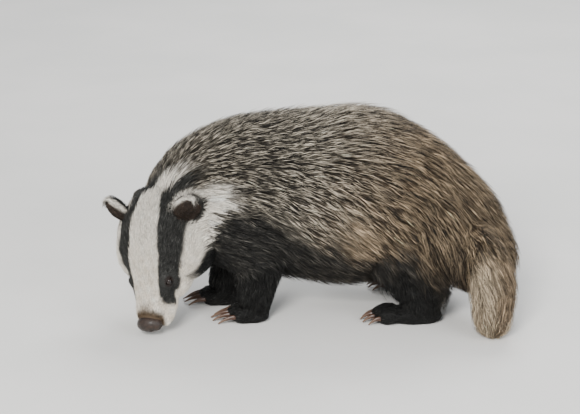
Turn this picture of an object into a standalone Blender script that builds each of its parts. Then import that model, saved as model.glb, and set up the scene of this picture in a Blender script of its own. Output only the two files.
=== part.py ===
"""A European badger as a still, life-size museum model, sniffing at the ground by its left front paw.

Metres, +Z up. The badger walks towards -X, its left flank towards -Y. Its body bends to the left,
so that both the head and the tail come towards -Y. The floor is z = 0. The places below are laid out
round the middle of the back, and the finished animal is moved at the end so that the middle of its
box stands on the origin.
"""

import math
import random
from dataclasses import dataclass

import bmesh
import bpy
import numpy as np
from mathutils import Matrix, Vector
from mathutils.bvhtree import BVHTree

# Driving dimensions of an adult.
BACK_HEIGHT = 0.254
BELLY_HALF_WIDTH = 0.108
HEAD_LENGTH = 0.170
EYE_RADIUS = 0.0046
EAR_RADIUS = 0.0185
NOSE_WIDTH = 0.031
CLAW_ROOT_RADIUS = 0.0031
FORE_CLAW_LENGTH = 0.022
HIND_CLAW_LENGTH = 0.015

# The clearance between neighbours.
GAP = 0.00035

# Fineness of the surfaces.
BODY_VOXEL = 0.0045
HEAD_VOXEL = 0.0018
LIMB_VOXEL = 0.0022
RING_SIDES = 28

# Colours, linear.
GREY_COAT = (0.16, 0.14, 0.12)
BLACK_COAT = (0.012, 0.011, 0.011)
WHITE_COAT = (0.66, 0.61, 0.54)
TAIL_COAT = (0.42, 0.33, 0.24)
NOSE_SKIN = (0.035, 0.024, 0.022)
EYE_DARK = (0.006, 0.004, 0.004)
HORN = (0.22, 0.16, 0.11)

LEFT_AND_RIGHT = (("left", 1), ("right", -1))

# The trunk, out to the coat's tips: x, y, z of the spine, half width, height above it, depth below it,
# and how deep the coat is there.
TRUNK = [
    (-0.152, -0.029, 0.114, 0.054, 0.057, 0.050, 0.003),
    (-0.116, -0.014, 0.130, 0.076, 0.088, 0.074, 0.006),
    (-0.068, -0.006, 0.140, 0.092, 0.106, 0.094, 0.009),
    (-0.015, 0.006, 0.143, 0.097, 0.109, 0.104, 0.011),
    (0.040, 0.013, 0.147, 0.104, BACK_HEIGHT - 0.147, 0.117, 0.012),
    (0.095, 0.011, 0.148, BELLY_HALF_WIDTH, BACK_HEIGHT - 0.148, 0.118, 0.012),
    (0.145, 0.004, 0.138, 0.107, 0.086, 0.104, 0.012),
    (0.186, -0.012, 0.120, 0.098, 0.062, 0.086, 0.011),
    (0.215, -0.034, 0.099, 0.081, 0.040, 0.062, 0.010),
    (0.234, -0.052, 0.079, 0.062, 0.030, 0.042, 0.009),
    (0.247, -0.068, 0.059, 0.038, 0.022, 0.024, 0.007),
]
TRUNK_ROWS = 54

# The muscle of the thighs and shoulders, in flesh: middle and radii.
MUSCLES = [
    ((0.160, -0.050, 0.098), (0.056, 0.038, 0.066)),
    ((0.160, 0.054, 0.098), (0.056, 0.036, 0.066)),
    ((-0.044, -0.042, 0.114), (0.042, 0.036, 0.062)),
    ((-0.066, 0.034, 0.114), (0.042, 0.036, 0.062)),
]

# The plane that parts the neck from the torso.
SEAM_PLACE = Vector((-0.086, -0.008, 0.136))
SEAM_WAY = Vector((0.970, 0.130, 0.205)).normalized()

# The skull and muzzle: distance behind the nose tip, height of the axis, half width, above and below.
SKULL = [
    (0.005, 0.001, 0.0145, 0.0110, 0.0125),
    (0.017, 0.000, 0.0190, 0.0150, 0.0165),
    (0.036, 0.000, 0.0235, 0.0190, 0.0210),
    (0.056, 0.001, 0.0300, 0.0250, 0.0260),
    (0.078, 0.002, 0.0400, 0.0330, 0.0340),
    (0.102, 0.002, 0.0490, 0.0395, 0.0400),
    (0.128, 0.000, 0.0540, 0.0430, 0.0420),
    (0.152, -0.004, 0.0540, 0.0410, 0.0400),
    (HEAD_LENGTH, -0.006, 0.0470, 0.0350, 0.0330),
]
SKULL_ROWS = 26

# Places on the head: distance behind the nose tip, to the side and up.
EYE_PLACE = (0.063, 0, 0.011)
EAR_PLACE = (0.142, 0.044, 0.020)
CHEEK = (0.108, 0.037, -0.013)
CHEEK_RADII = (0.041, 0.027, 0.034)
JAW = (0.124, 0.038, -0.018)
JAW_RADII = (0.040, 0.030, 0.036)
LIP = (0.037, 0.0155, -0.009)
LIP_RADII = (0.030, 0.0140, 0.011)
CHIN = (0.058, 0.010, -0.018)
CHIN_RADII = (0.030, 0.015, 0.013)

# The line of the mouth, from its corner to the middle of the upper lip.
MOUTH = [
    (0.070, 0.034, -0.019),
    (0.052, 0.027, -0.0145),
    (0.034, 0.0215, -0.0115),
    (0.018, 0.0175, -0.0100),
    (0.009, 0.0090, -0.0105),
]
MOUTH_MIDDLE = (0.0065, 0, -0.0110)
MOUTH_DEPTH = 0.0011

# Where the nose tip is, which way the head points, and roughly where its left is.
NOSE_TIP = Vector((-0.1710, -0.112, 0.0080))
HEAD_AIM = (-0.100, -0.490, -0.866)
HEAD_LEFT_HINT = (0.866, -0.440, 0.240)

# The paws: middle x and y, heading in degrees from -X towards +Y, length, width and claw length.
PAWS = {
    "forepaw_left": (-0.050, -0.052, 4, 0.046, 0.046, FORE_CLAW_LENGTH),
    "forepaw_right": (-0.088, 0.010, 8, 0.046, 0.046, FORE_CLAW_LENGTH),
    "hindpaw_left": (0.146, -0.058, 2, 0.080, 0.043, HIND_CLAW_LENGTH),
    "hindpaw_right": (0.158, 0.058, 10, 0.080, 0.043, HIND_CLAW_LENGTH),
}
TOES = (-2, -1, 0, 1, 2)
TOE_HEIGHT = 0.0088

# The legs above the paws: x, y, z of the bone, half width across, behind and in front.
LEGS = {
    "foreleg_left": [
        (-0.036, -0.044, 0.100, 0.030, 0.036, 0.034),
        (-0.036, -0.050, 0.070, 0.026, 0.030, 0.029),
        (-0.041, -0.053, 0.042, 0.022, 0.025, 0.025),
        (-0.045, -0.053, 0.020, 0.021, 0.022, 0.023),
    ],
    "foreleg_right": [
        (-0.066, 0.022, 0.100, 0.030, 0.036, 0.034),
        (-0.070, 0.016, 0.070, 0.026, 0.030, 0.029),
        (-0.078, 0.011, 0.042, 0.022, 0.025, 0.025),
        (-0.083, 0.010, 0.020, 0.021, 0.022, 0.023),
    ],
    "hindleg_left": [
        (0.150, -0.052, 0.085, 0.032, 0.052, 0.048),
        (0.156, -0.056, 0.058, 0.027, 0.042, 0.042),
        (0.164, -0.058, 0.036, 0.022, 0.030, 0.032),
        (0.168, -0.058, 0.018, 0.019, 0.021, 0.024),
    ],
    "hindleg_right": [
        (0.160, 0.052, 0.085, 0.032, 0.050, 0.046),
        (0.168, 0.056, 0.058, 0.027, 0.040, 0.040),
        (0.176, 0.058, 0.036, 0.022, 0.030, 0.030),
        (0.180, 0.058, 0.018, 0.019, 0.021, 0.022),
    ],
}
LEG_ROWS = 9

# The tail hangs from the rump and bends to the badger's left. Its stations are as the trunk's.
TAIL = [
    (0.224, -0.050, 0.104, 0.025, 0.024, 0.024, 0.005),
    (0.239, -0.076, 0.085, 0.028, 0.026, 0.026, 0.006),
    (0.246, -0.095, 0.058, 0.029, 0.026, 0.026, 0.006),
    (0.246, -0.106, 0.034, 0.027, 0.023, 0.023, 0.007),
    (0.246, -0.111, 0.013, 0.021, 0.017, 0.017, 0.007),
]
TAIL_ROWS = 14


@dataclass(frozen=True)
class Coat:
    """Rows of locks round a spine, from first to last in metres along it.

    cover is a lock's width as a share of its room in the row, droop how far the flanks' locks lean down.
    """

    first: float
    last: float
    rows: int
    around: int
    length: float
    cover: float
    half_depth: float
    rise: float
    droop: float


TORSO_COAT = Coat(0.085, 0.455, 8, 10, 0.086, 0.96, 0.0024, 0.0130, 0.50)
NECK_COAT = Coat(0.020, 0.062, 3, 8, 0.044, 0.90, 0.0018, 0.0080, 0.30)
TAIL_LOCKS = Coat(0.030, 0.104, 4, 6, 0.034, 0.92, 0.0014, 0.0068, 0.0)

# A lock's rings: share of its full width, of its full depth, and of its full height over the flesh.
LOCK_WIDTHS = (0.75, 1.00, 0.66)
LOCK_DEPTHS = (1.00, 1.00, 0.70)
LOCK_RISES = (-0.34, 0.28, 0.72, 1.00)

# A lock that grows by more than this when it is cut was cut wrongly.
MOST_GROWTH = 1.001


def clear_scene():
    """Removes every object, so that only the badger is left."""
    for found in list(bpy.data.objects):
        bpy.data.objects.remove(found)


def new_material(name, colour, roughness):
    """A coat, skin or horn finish."""
    made = bpy.data.materials.new(name)
    made.use_nodes = True
    shader = made.node_tree.nodes["Principled BSDF"]
    shader.inputs["Base Color"].default_value = (*colour, 1)
    shader.inputs["Roughness"].default_value = roughness
    shader.inputs["Metallic"].default_value = 0
    made.diffuse_color = (*colour, 1)
    return made


def object_from(name, mesh):
    made = bpy.data.objects.new(name, mesh)
    bpy.context.scene.collection.objects.link(made)
    return made


def mesh_object(name, made):
    """A bmesh turned into an object with its faces pointing outwards."""
    bmesh.ops.recalc_face_normals(made, faces=made.faces)
    bmesh.ops.triangulate(made, faces=made.faces)
    mesh = bpy.data.meshes.new(name)
    made.to_mesh(mesh)
    made.free()
    return object_from(name, mesh)


def evaluated_copy(source, name):
    """The object with its modifiers applied and its place in its mesh, and the source removed."""
    bpy.context.view_layer.update()
    graph = bpy.context.evaluated_depsgraph_get()
    mesh = bpy.data.meshes.new_from_object(source.evaluated_get(graph))
    mesh.transform(source.matrix_world)
    mesh.materials.clear()
    bpy.data.objects.remove(source)
    mesh.name = name
    return object_from(name, mesh)


def smooth_values(rows, count):
    """Rows of numbers on one smooth curve through the given rows, as a Catmull-Rom spline."""
    rows = np.array(rows, float)
    padded = np.vstack([2 * rows[0] - rows[1], rows, 2 * rows[-1] - rows[-2]])
    made = []
    for t in np.linspace(0, len(rows) - 1, count):
        i = min(int(t), len(rows) - 2)
        x = t - i
        a, b, c, d = padded[i : i + 4]
        cubic = (2 * a - 5 * b + 4 * c - d) * x**2 + (3 * b - a - 3 * c + d) * x**3
        made.append(0.5 * (2 * b + (c - a) * x + cubic))
    return np.array(made)


def unit(vector):
    vector = np.array(vector, float)
    return vector / np.linalg.norm(vector)


# The head's own axes: forwards to the nose, up out of its brow and to its left.
HEAD_FORWARD = unit(HEAD_AIM)
HEAD_UP = unit(np.cross(HEAD_FORWARD, HEAD_LEFT_HINT))
HEAD_LEFT = np.cross(HEAD_UP, HEAD_FORWARD)
HEAD_TURN = Matrix((HEAD_FORWARD, HEAD_LEFT, HEAD_UP)).transposed()
HEAD_PLACE = Matrix.Translation(NOSE_TIP) @ HEAD_TURN.to_4x4()


def on_head(back, left, up):
    """A place on the head: how far behind the nose tip, to its left and up."""
    return HEAD_PLACE @ Vector((-back, left, up))


def head_way(forward, left, up):
    """A direction on the head, turned into the animal's axes."""
    return (HEAD_TURN @ Vector((forward, left, up))).normalized()


def loft(name, stations, count, up=(0, 0, 1), sides=RING_SIDES):
    """A closed tube of unlike oval sections. A station is x, y, z, half width, height above, depth below."""
    rows = smooth_values(stations, count)
    along = np.gradient(rows[:, :3], axis=0)
    made = bmesh.new()
    rings = []
    for (x, y, z, half, above, below), way in zip(rows, along):
        way = unit(way)
        left = unit(np.cross(up, way))
        top = np.cross(way, left)
        ring = []
        for k in range(sides):
            angle = 2 * math.pi * k / sides
            height = math.sin(angle)
            offset = left * half * math.cos(angle) + top * height * (above if height > 0 else below)
            ring.append(made.verts.new((x, y, z) + offset))
        rings.append(ring)
    for first, second in zip(rings, rings[1:]):
        for k in range(sides):
            made.faces.new((first[k], second[k], second[(k + 1) % sides], first[(k + 1) % sides]))
    made.faces.new(rings[0])
    made.faces.new(rings[-1][::-1])
    return mesh_object(name, made)


def ball(name, centre, radii, turn=None, segments=24, rings=16):
    """An ellipsoid from the sphere primitive. turn is a 3 by 3 matrix of its own axes."""
    made = bmesh.new()
    bmesh.ops.create_uvsphere(made, u_segments=segments, v_segments=rings, radius=1)
    place = Matrix.Translation(Vector(centre))
    if turn is not None:
        place = place @ turn.to_4x4()
    made.transform(place @ Matrix.Diagonal((*radii, 1)))
    return mesh_object(name, made)


def wire(name, points, radius, steps=2):
    """A round bar along a line of points, as a mesh with its caps welded."""
    line = bpy.data.curves.new(name, "CURVE")
    line.dimensions = "3D"
    line.bevel_depth = radius
    line.bevel_resolution = steps
    line.use_fill_caps = True
    spline = line.splines.new("POLY")
    spline.points.add(len(points) - 1)
    for point, place in zip(spline.points, points):
        point.co = (*place, 1)
    bar = evaluated_copy(object_from(name, line), name)
    welded = bmesh.new()
    welded.from_mesh(bar.data)
    bpy.data.objects.remove(bar)
    bmesh.ops.remove_doubles(welded, verts=welded.verts, dist=radius * 0.02)
    return mesh_object(name, welded)


def joined(name, pieces):
    """One object of several closed shells, which may overlap."""
    made = bmesh.new()
    for piece in pieces:
        made.from_mesh(piece.data)
        bpy.data.objects.remove(piece)
    return mesh_object(name, made)


def fused(name, pieces, voxel, triangles, smoothing=6):
    """The pieces melted into one soft closed body of about that many triangles."""
    body = joined(name, pieces)
    melt = body.modifiers.new("melt", "REMESH")
    melt.mode = "VOXEL"
    melt.voxel_size = voxel
    soften = body.modifiers.new("soften", "SMOOTH")
    soften.factor = 0.5
    soften.iterations = smoothing
    body = evaluated_copy(body, name)
    split = body.modifiers.new("split", "TRIANGULATE")
    split.quad_method = "SHORTEST_DIAGONAL"
    thin = body.modifiers.new("thin", "DECIMATE")
    faces = sum(len(face.vertices) - 2 for face in body.data.polygons)
    thin.ratio = min(1, triangles / faces)
    return evaluated_copy(body, name)


def swollen(source, by):
    """A copy grown along its normals, used to cut a clear gap."""
    made = object_from(source.name + "_swollen", source.data.copy())
    grow = made.modifiers.new("grow", "DISPLACE")
    grow.mid_level = 0
    grow.strength = by
    return evaluated_copy(made, made.name)


def boolean(body, other, operation, keep=False):
    """The body joined with, or cut by, another one, which is then removed unless it is kept."""
    name = body.name
    change = body.modifiers.new(operation, "BOOLEAN")
    change.operation = operation
    change.solver = "EXACT"
    change.object = other
    body = evaluated_copy(body, name)
    if not keep:
        bpy.data.objects.remove(other)
    return body


def cleared(body, *neighbours):
    """The body cut back from its neighbours by the gap."""
    for neighbour in neighbours:
        body = boolean(body, swollen(neighbour, GAP), "DIFFERENCE")
    return largest(body)


def largest(body):
    """Keeps only the largest closed surface of the body."""
    made = bmesh.new()
    made.from_mesh(body.data)
    bmesh.ops.triangulate(made, faces=made.faces)
    left = set(made.verts)
    islands = []
    while left:
        island = [left.pop()]
        for vert in island:
            for edge in vert.link_edges:
                other = edge.other_vert(vert)
                if other in left:
                    left.remove(other)
                    island.append(other)
        islands.append(island)
    islands.sort(key=len)
    spare = [vert for island in islands[:-1] for vert in island]
    bmesh.ops.delete(made, geom=spare, context="VERTS")
    made.to_mesh(body.data)
    made.free()
    return body


def surface_tree(body):
    """A search tree of the body's surface."""
    made = bmesh.new()
    made.from_mesh(body.data)
    tree = BVHTree.FromBMesh(made)
    made.free()
    return tree


def flesh(stations):
    """The sections of the flesh under the coat."""
    return [
        (x, y, z, half - coat, above - coat, below - coat) for x, y, z, half, above, below, coat in stations
    ]


def cut_flat(body, name, place, out):
    """A copy of the body without what lies beyond the plane, closed by a flat face there."""
    made = bmesh.new()
    made.from_mesh(body.data)
    parts = made.verts[:] + made.edges[:] + made.faces[:]
    cut = bmesh.ops.bisect_plane(made, geom=parts, plane_co=place, plane_no=out, clear_outer=True)
    rim = [part for part in cut["geom_cut"] if isinstance(part, bmesh.types.BMEdge)]
    bmesh.ops.triangle_fill(made, edges=rim, use_beauty=True, normal=out)
    return mesh_object(name, made)


def make_trunk():
    """The flesh of the neck and of the torso, made whole and parted by a thin cut."""
    pieces = [loft("trunk", flesh(TRUNK), TRUNK_ROWS)]
    for centre, radii in MUSCLES:
        pieces.append(ball("muscle", centre, radii))
    whole = fused("whole", pieces, BODY_VOXEL, 900, smoothing=8)
    neck = cut_flat(whole, "neck", SEAM_PLACE - SEAM_WAY * GAP / 2, SEAM_WAY)
    torso = cut_flat(whole, "torso", SEAM_PLACE + SEAM_WAY * GAP / 2, -SEAM_WAY)
    bpy.data.objects.remove(whole)
    return torso, neck


def make_lock(name, places, normals, half_width, half_depth, bow):
    """A flat tapered lock along a line of places, bowed round the body, with its first ring sunk in the flesh."""
    made = bmesh.new()
    rings = []
    for i, (wide, deep) in enumerate(zip(LOCK_WIDTHS, LOCK_DEPTHS)):
        way = unit(places[i + 1] - places[max(i - 1, 0)])
        side = unit(np.cross(normals[i], way))
        top = np.cross(way, side)
        bowed = top * bow * wide**2
        wing = side * wide * half_width
        thick = top * deep * half_depth
        rings.append([made.verts.new(places[i] + reach) for reach in (wing - bowed, thick, -wing - bowed, -thick)])
    tip = made.verts.new(places[-1])
    for first, second in zip(rings, rings[1:]):
        for k in range(4):
            made.faces.new((first[k], second[k], second[(k + 1) % 4], first[(k + 1) % 4]))
    for k in range(4):
        made.faces.new((rings[-1][k], tip, rings[-1][(k + 1) % 4]))
    made.faces.new(rings[0])
    return mesh_object(name, made)


def laid_lines(tree, root, way, length, rise, sway):
    """Places along the surface from a root, rising from under it to the tip, and the normals there."""
    places, normals = [], []
    here = np.array(root)
    for share in LOCK_RISES:
        face, normal, _, _ = tree.find_nearest(Vector(here))
        face, normal = np.array(face), np.array(normal)
        places.append(face + normal * share * rise)
        normals.append(normal)
        way = unit(way - normal * np.dot(way, normal))
        way = unit(way + np.cross(normal, way) * sway)
        here = face + way * length / (len(LOCK_RISES) - 1)
    return places, normals


def inside(tree, place):
    """Whether the place lies within the closed surface of the tree."""
    face, normal, _, _ = tree.find_nearest(place)
    return normal.dot(place - face) < 0


def coat_locks(body, stations, coat, covering):
    """Rows of locks on a body round its spine, each row half a step round from the last.

    None starts where a covering neighbour hides the body.
    """
    tree = surface_tree(body)
    covers = [surface_tree(neighbour) for neighbour in covering]
    dice = random.Random(body.name)
    spine = smooth_values(stations, 201)[:, :3]
    ways = np.gradient(spine, axis=0)
    passed = np.concatenate([[0], np.cumsum(np.linalg.norm(np.diff(spine, axis=0), axis=1))])
    locks = []
    for row, distance in enumerate(np.linspace(coat.first, coat.last, coat.rows)):
        at = int(np.searchsorted(passed, distance))
        way = unit(ways[at])
        left = unit(np.cross((0, 0, 1), way))
        top = np.cross(way, left)
        for k in range(coat.around):
            angle = 2 * math.pi * (k + 0.5 * (row % 2) + dice.uniform(-0.12, 0.12)) / coat.around
            out = top * math.cos(angle) + left * math.sin(angle)
            start = spine[at] + way * dice.uniform(-0.004, 0.004)
            length = coat.length * dice.uniform(0.90, 1.10)
            sway = dice.uniform(-0.08, 0.08)
            root, _, _, reach = tree.ray_cast(Vector(start), Vector(out))
            if root is None or any(inside(cover, root) for cover in covers):
                continue
            lie = way + np.array((0, 0, -1)) * coat.droop * abs(math.sin(angle))
            half_width = coat.cover * math.pi * reach / coat.around
            places, normals = laid_lines(tree, root, lie, length, coat.rise, sway)
            bow = half_width**2 / (2 * reach)
            name = f"{body.name}_lock_{len(locks)}"
            locks.append(make_lock(name, places, normals, half_width, coat.half_depth, bow))
    return locks


def box_of(body):
    corners = np.array([vert.co for vert in body.data.vertices])
    return corners.min(axis=0), corners.max(axis=0)


def volume_of(body):
    made = bmesh.new()
    made.from_mesh(body.data)
    volume = made.calc_volume(signed=True)
    made.free()
    return volume


def trimmed(locks, neighbours):
    """The locks, each cut clear of the neighbours that it meets. One that is cut away or grows is dropped."""
    cutters = [swollen(neighbour, GAP) for neighbour in neighbours]
    boxes = [box_of(cutter) for cutter in cutters]
    kept = []
    for lock in locks:
        left = volume_of(lock)
        most = left * MOST_GROWTH
        for cutter, (low, high) in zip(cutters, boxes):
            if not 0 < left <= most:
                break
            lock_low, lock_high = box_of(lock)
            if (lock_low < high).all() and (low < lock_high).all():
                lock = boolean(lock, cutter, "DIFFERENCE", keep=True)
                left = volume_of(lock)
        if 0 < left <= most:
            kept.append(lock)
        else:
            bpy.data.objects.remove(lock)
    for cutter in cutters:
        bpy.data.objects.remove(cutter)
    return kept


def with_pieces(body, pieces):
    """The body and all the pieces as one solid, by one union on their collection."""
    group = bpy.data.collections.new(body.name + "_pieces")
    bpy.context.scene.collection.children.link(group)
    for piece in pieces:
        bpy.context.scene.collection.objects.unlink(piece)
        group.objects.link(piece)
    name = body.name
    change = body.modifiers.new("union", "BOOLEAN")
    change.operation = "UNION"
    change.operand_type = "COLLECTION"
    change.solver = "MANIFOLD"
    change.collection = group
    body = evaluated_copy(body, name)
    for piece in pieces:
        bpy.data.objects.remove(piece)
    bpy.data.collections.remove(group)
    return largest(body)


def make_head():
    """Skull and muzzle with cheeks, jaws, lips and chin, all in fur."""
    rows = [(*on_head(back, 0, axis), half, above, below) for back, axis, half, above, below in SKULL]
    pieces = [loft("skull", rows, SKULL_ROWS, up=HEAD_UP)]
    for name, side in LEFT_AND_RIGHT:
        for part, (back, left, up), radii in (
            ("cheek", CHEEK, CHEEK_RADII),
            ("jaw", JAW, JAW_RADII),
            ("lip", LIP, LIP_RADII),
            ("chin", CHIN, CHIN_RADII),
        ):
            pieces.append(ball(f"{name}_{part}", on_head(back, side * left, up), radii, HEAD_TURN))
    return fused("head", pieces, HEAD_VOXEL, 2000, smoothing=10)


def make_eye(name, side, head_tree):
    """An eyeball that stands a little proud of the head, with its place on the surface."""
    face, normal, _, _ = head_tree.ray_cast(on_head(*EYE_PLACE), head_way(0.15, side, 0))
    centre = face - normal * EYE_RADIUS * 0.55
    return ball(name, centre, (EYE_RADIUS,) * 3, segments=12, rings=7), face, normal


def make_lids(name, face, normal):
    """A soft almond ring round the eye."""
    along = head_way(1, 0, -0.35)
    across = Vector(normal).cross(along).normalized()
    along = across.cross(normal).normalized()
    turn = Matrix((along, across, normal)).transposed()
    ring_radius, tube_radius = EYE_RADIUS * 1.16, EYE_RADIUS * 0.34
    around, sides = 16, 6
    made = bmesh.new()
    rings = []
    for i in range(around):
        turned = 2 * math.pi * i / around
        ring = []
        for k in range(sides):
            angle = 2 * math.pi * k / sides
            reach = ring_radius + tube_radius * math.cos(angle)
            place = Vector((reach * math.cos(turned) * 1.12, reach * math.sin(turned) * 0.82, 0))
            place.z = tube_radius * math.sin(angle) - EYE_RADIUS * 0.12
            ring.append(made.verts.new(face + turn @ place))
        rings.append(ring)
    for i, first in enumerate(rings):
        second = rings[(i + 1) % around]
        for k in range(sides):
            made.faces.new((first[k], second[k], second[(k + 1) % sides], first[(k + 1) % sides]))
    return mesh_object(name, made)


def make_ear(name, side):
    """A round thick ear with its cup open forwards and outwards."""
    up = head_way(-0.55, 0.72 * side, 0.42)
    mouth = head_way(0.62, 0.58 * side, 0.40)
    mouth = (mouth - up * mouth.dot(up)).normalized()
    turn = Matrix((up.cross(mouth), mouth, up)).transposed()
    root = on_head(EAR_PLACE[0], side * EAR_PLACE[1], EAR_PLACE[2])
    centre = root + up * EAR_RADIUS * 0.50
    ear = ball(name, centre, (EAR_RADIUS * 0.95, EAR_RADIUS * 0.55, EAR_RADIUS), turn, segments=16, rings=10)
    hollow = centre + mouth * EAR_RADIUS * 0.46 + up * EAR_RADIUS * 0.02
    cup_radii = (EAR_RADIUS * 0.72, EAR_RADIUS * 0.62, EAR_RADIUS * 0.78)
    return boolean(ear, ball(name + "_cup", hollow, cup_radii, turn, 12, 8), "DIFFERENCE")


def make_nose():
    """The bare pad with its two nostrils, which open forwards and to the side."""
    half = NOSE_WIDTH / 2
    pieces = [ball("nose_pad", on_head(0.0085, 0, 0.0030), (0.0105, half, 0.0110), HEAD_TURN)]
    for name, side in LEFT_AND_RIGHT:
        wing = on_head(0.0085, side * half * 0.55, 0.0010)
        pieces.append(ball(name + "_wing", wing, (0.0088, half * 0.55, 0.0088), HEAD_TURN))
    nose = fused("nose", pieces, HEAD_VOXEL * 0.6, 320, smoothing=4)
    for name, side in LEFT_AND_RIGHT:
        points = [
            on_head(-0.0040, side * 0.0058, 0.0035),
            on_head(0.0030, side * 0.0062, 0.0030),
            on_head(0.0052, side * 0.0108, 0.0000),
            on_head(0.0054, side * 0.0180, -0.0015),
        ]
        nose = boolean(nose, wire(name + "_nostril", smooth_values(points, 7), 0.0020, steps=1), "DIFFERENCE")
    return largest(nose)


def cut_mouth(head):
    """The line of the mouth, as a groove from one corner round the muzzle to the other."""
    tree = surface_tree(head)
    other_side = [(back, -left, up) for back, left, up in MOUTH[::-1]]
    points = [tree.find_nearest(on_head(*place))[0] for place in (*MOUTH, MOUTH_MIDDLE, *other_side)]
    groove = wire("mouth", smooth_values(points, 27), MOUTH_DEPTH, steps=1)
    return largest(boolean(head, groove, "DIFFERENCE"))


def paw_place(name):
    """The paw's own axes: x to its toes, y to its right, z up, with the origin under its middle."""
    x, y, heading, *_ = PAWS[name]
    return Matrix.Translation((x, y, 0)) @ Matrix.Rotation(math.pi - math.radians(heading), 4, "Z")


def toe_root(name, toe):
    """Where the claw of that toe starts, and which way it points, on the paw's own axes."""
    length, width = PAWS[name][3:5]
    place = Vector((length * 0.5 + 0.004 - 0.0021 * toe * toe, toe * width * 0.205, TOE_HEIGHT))
    return place, Vector((1, 0.10 * toe, -0.06)).normalized()


def make_paw(name):
    """The pad, the wrist or heel over it and five toes, cut flat at the floor."""
    length, width = PAWS[name][3:5]
    place = paw_place(name)
    turn = place.to_3x3()
    pad_radii = (length * 0.47, width * 0.44, 0.0125)
    wrist_radii = (length * 0.30, width * 0.40, 0.0165)
    pieces = [
        ball("pad", place @ Vector((-length * 0.08, 0, 0.0085)), pad_radii, turn),
        ball("wrist", place @ Vector((-length * 0.20, 0, 0.0200)), wrist_radii, turn),
    ]
    for toe in TOES:
        root, way = toe_root(name, toe)
        pieces.append(ball("toe", place @ (root - way * 0.012), (0.0145, width * 0.118, 0.0094), turn, 16, 10))
    whole = fused("whole", pieces, LIMB_VOXEL * 0.8, 230, smoothing=3)
    paw = cut_flat(whole, name, (0, 0, 0), (0, 0, -1))
    bpy.data.objects.remove(whole)
    return paw


def make_claw(name, paw, toe):
    """A horn that bends down to the floor, higher than wide."""
    root, way = toe_root(paw, toe)
    place = paw_place(paw)
    length = PAWS[paw][5] * (1 - 0.06 * abs(toe))
    drop = root.z * 0.72
    rows = []
    for share in (-0.16, 0.40, 1.0):
        ahead = max(share, 0)
        middle = root + way * length * share - Vector((0, 0, drop * ahead**2))
        radius = CLAW_ROOT_RADIUS * (1 - 0.80 * ahead)
        rows.append((*(place @ middle), radius * 0.85, radius * 1.15, radius * 1.15))
    return loft(name, rows, len(rows), sides=6)


def set_finish(body, finish):
    body.data.materials.clear()
    body.data.materials.append(finish)
    body.data.shade_smooth()
    body.data.set_sharp_from_angle(angle=math.radians(50))


def make_finishes():
    return {
        "grey": new_material("grey_coat", GREY_COAT, 0.8),
        "black": new_material("black_coat", BLACK_COAT, 0.7),
        "white": new_material("white_coat", WHITE_COAT, 0.8),
        "tail": new_material("tail_coat", TAIL_COAT, 0.8),
        "nose": new_material("nose_skin", NOSE_SKIN, 0.35),
        "eye": new_material("eye_dark", EYE_DARK, 0.05),
        "horn": new_material("claw_horn", HORN, 0.4),
    }


def make_face(parts, neck):
    """The head with its eyes, lids, nose, mouth and ears."""
    head = make_head()
    parts["whole_head"] = copy_of(head), "white"
    head_tree = surface_tree(head)
    nose = make_nose()
    for name, side in LEFT_AND_RIGHT:
        eye, face, normal = make_eye("eye_" + name, side, head_tree)
        parts["eye_" + name] = eye, "eye"
        head = boolean(head, make_lids("lids_" + name, face, normal), "UNION")
    head = cut_mouth(head)
    head = cleared(head, nose, parts["eye_left"][0], parts["eye_right"][0])
    for name, side in LEFT_AND_RIGHT:
        parts["ear_" + name] = cleared(make_ear("ear_" + name, side), head, neck), "black"
    parts["nose"] = nose, "nose"
    parts["head"] = cleared(head, neck), "white"


def copy_of(body):
    return object_from(body.name + "_copy", body.data.copy())


def make_limbs(parts, torso, neck):
    """The four legs, each with its paw and five claws. Returns whole copies that the coat is cut clear of."""
    whole = []
    for leg, stations in LEGS.items():
        paw_name = leg.replace("leg", "paw")
        claws = []
        for toe in TOES:
            claw_name = f"claw_{paw_name}_{toe + 3}"
            claws.append(make_claw(claw_name, paw_name, toe))
            parts[claw_name] = claws[-1], "horn"
        paw = make_paw(paw_name)
        limb = fused(leg, [loft(leg, stations, LEG_ROWS, up=(1, 0, 0), sides=16)], LIMB_VOXEL, 110)
        whole += [copy_of(paw), copy_of(limb)]
        paw = cleared(paw, torso, *claws)
        parts[paw_name] = paw, "black"
        parts[leg] = cleared(limb, torso, neck, paw), "black"
    return whole


def make_coats(parts, torso, neck, tail, limbs):
    """The locks of the neck, torso and tail, joined to their flesh."""
    head = parts["whole_head"][0]
    ears = [parts[name][0] for name in ("ear_left", "ear_right")]
    tail_locks = trimmed(coat_locks(tail, TAIL, TAIL_LOCKS, [torso]), [torso])
    whole_tail = copy_of(tail)
    tail = cleared(tail, torso)
    neck_locks = trimmed(coat_locks(neck, TRUNK, NECK_COAT, [head]), [torso, *ears, head, *limbs])
    torso_locks = coat_locks(torso, TRUNK, TORSO_COAT, [whole_tail, *limbs])
    torso_locks = trimmed(torso_locks, [neck, whole_tail, *limbs, *neck_locks, *tail_locks])
    bpy.data.objects.remove(whole_tail)
    parts["neck"] = with_pieces(neck, neck_locks), "grey"
    parts["tail"] = with_pieces(tail, tail_locks), "tail"
    parts["torso"] = with_pieces(torso, torso_locks), "grey"


def stand_on_origin(bodies):
    """Moves every body so that the middle of the box of them all stands on the origin."""
    corners = np.array([vert.co for body in bodies for vert in body.data.vertices])
    low, high = corners.min(axis=0), corners.max(axis=0)
    shift = Vector((-(low[0] + high[0]) / 2, -(low[1] + high[1]) / 2, -low[2]))
    for body in bodies:
        body.data.transform(Matrix.Translation(shift))
    return shift


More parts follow.
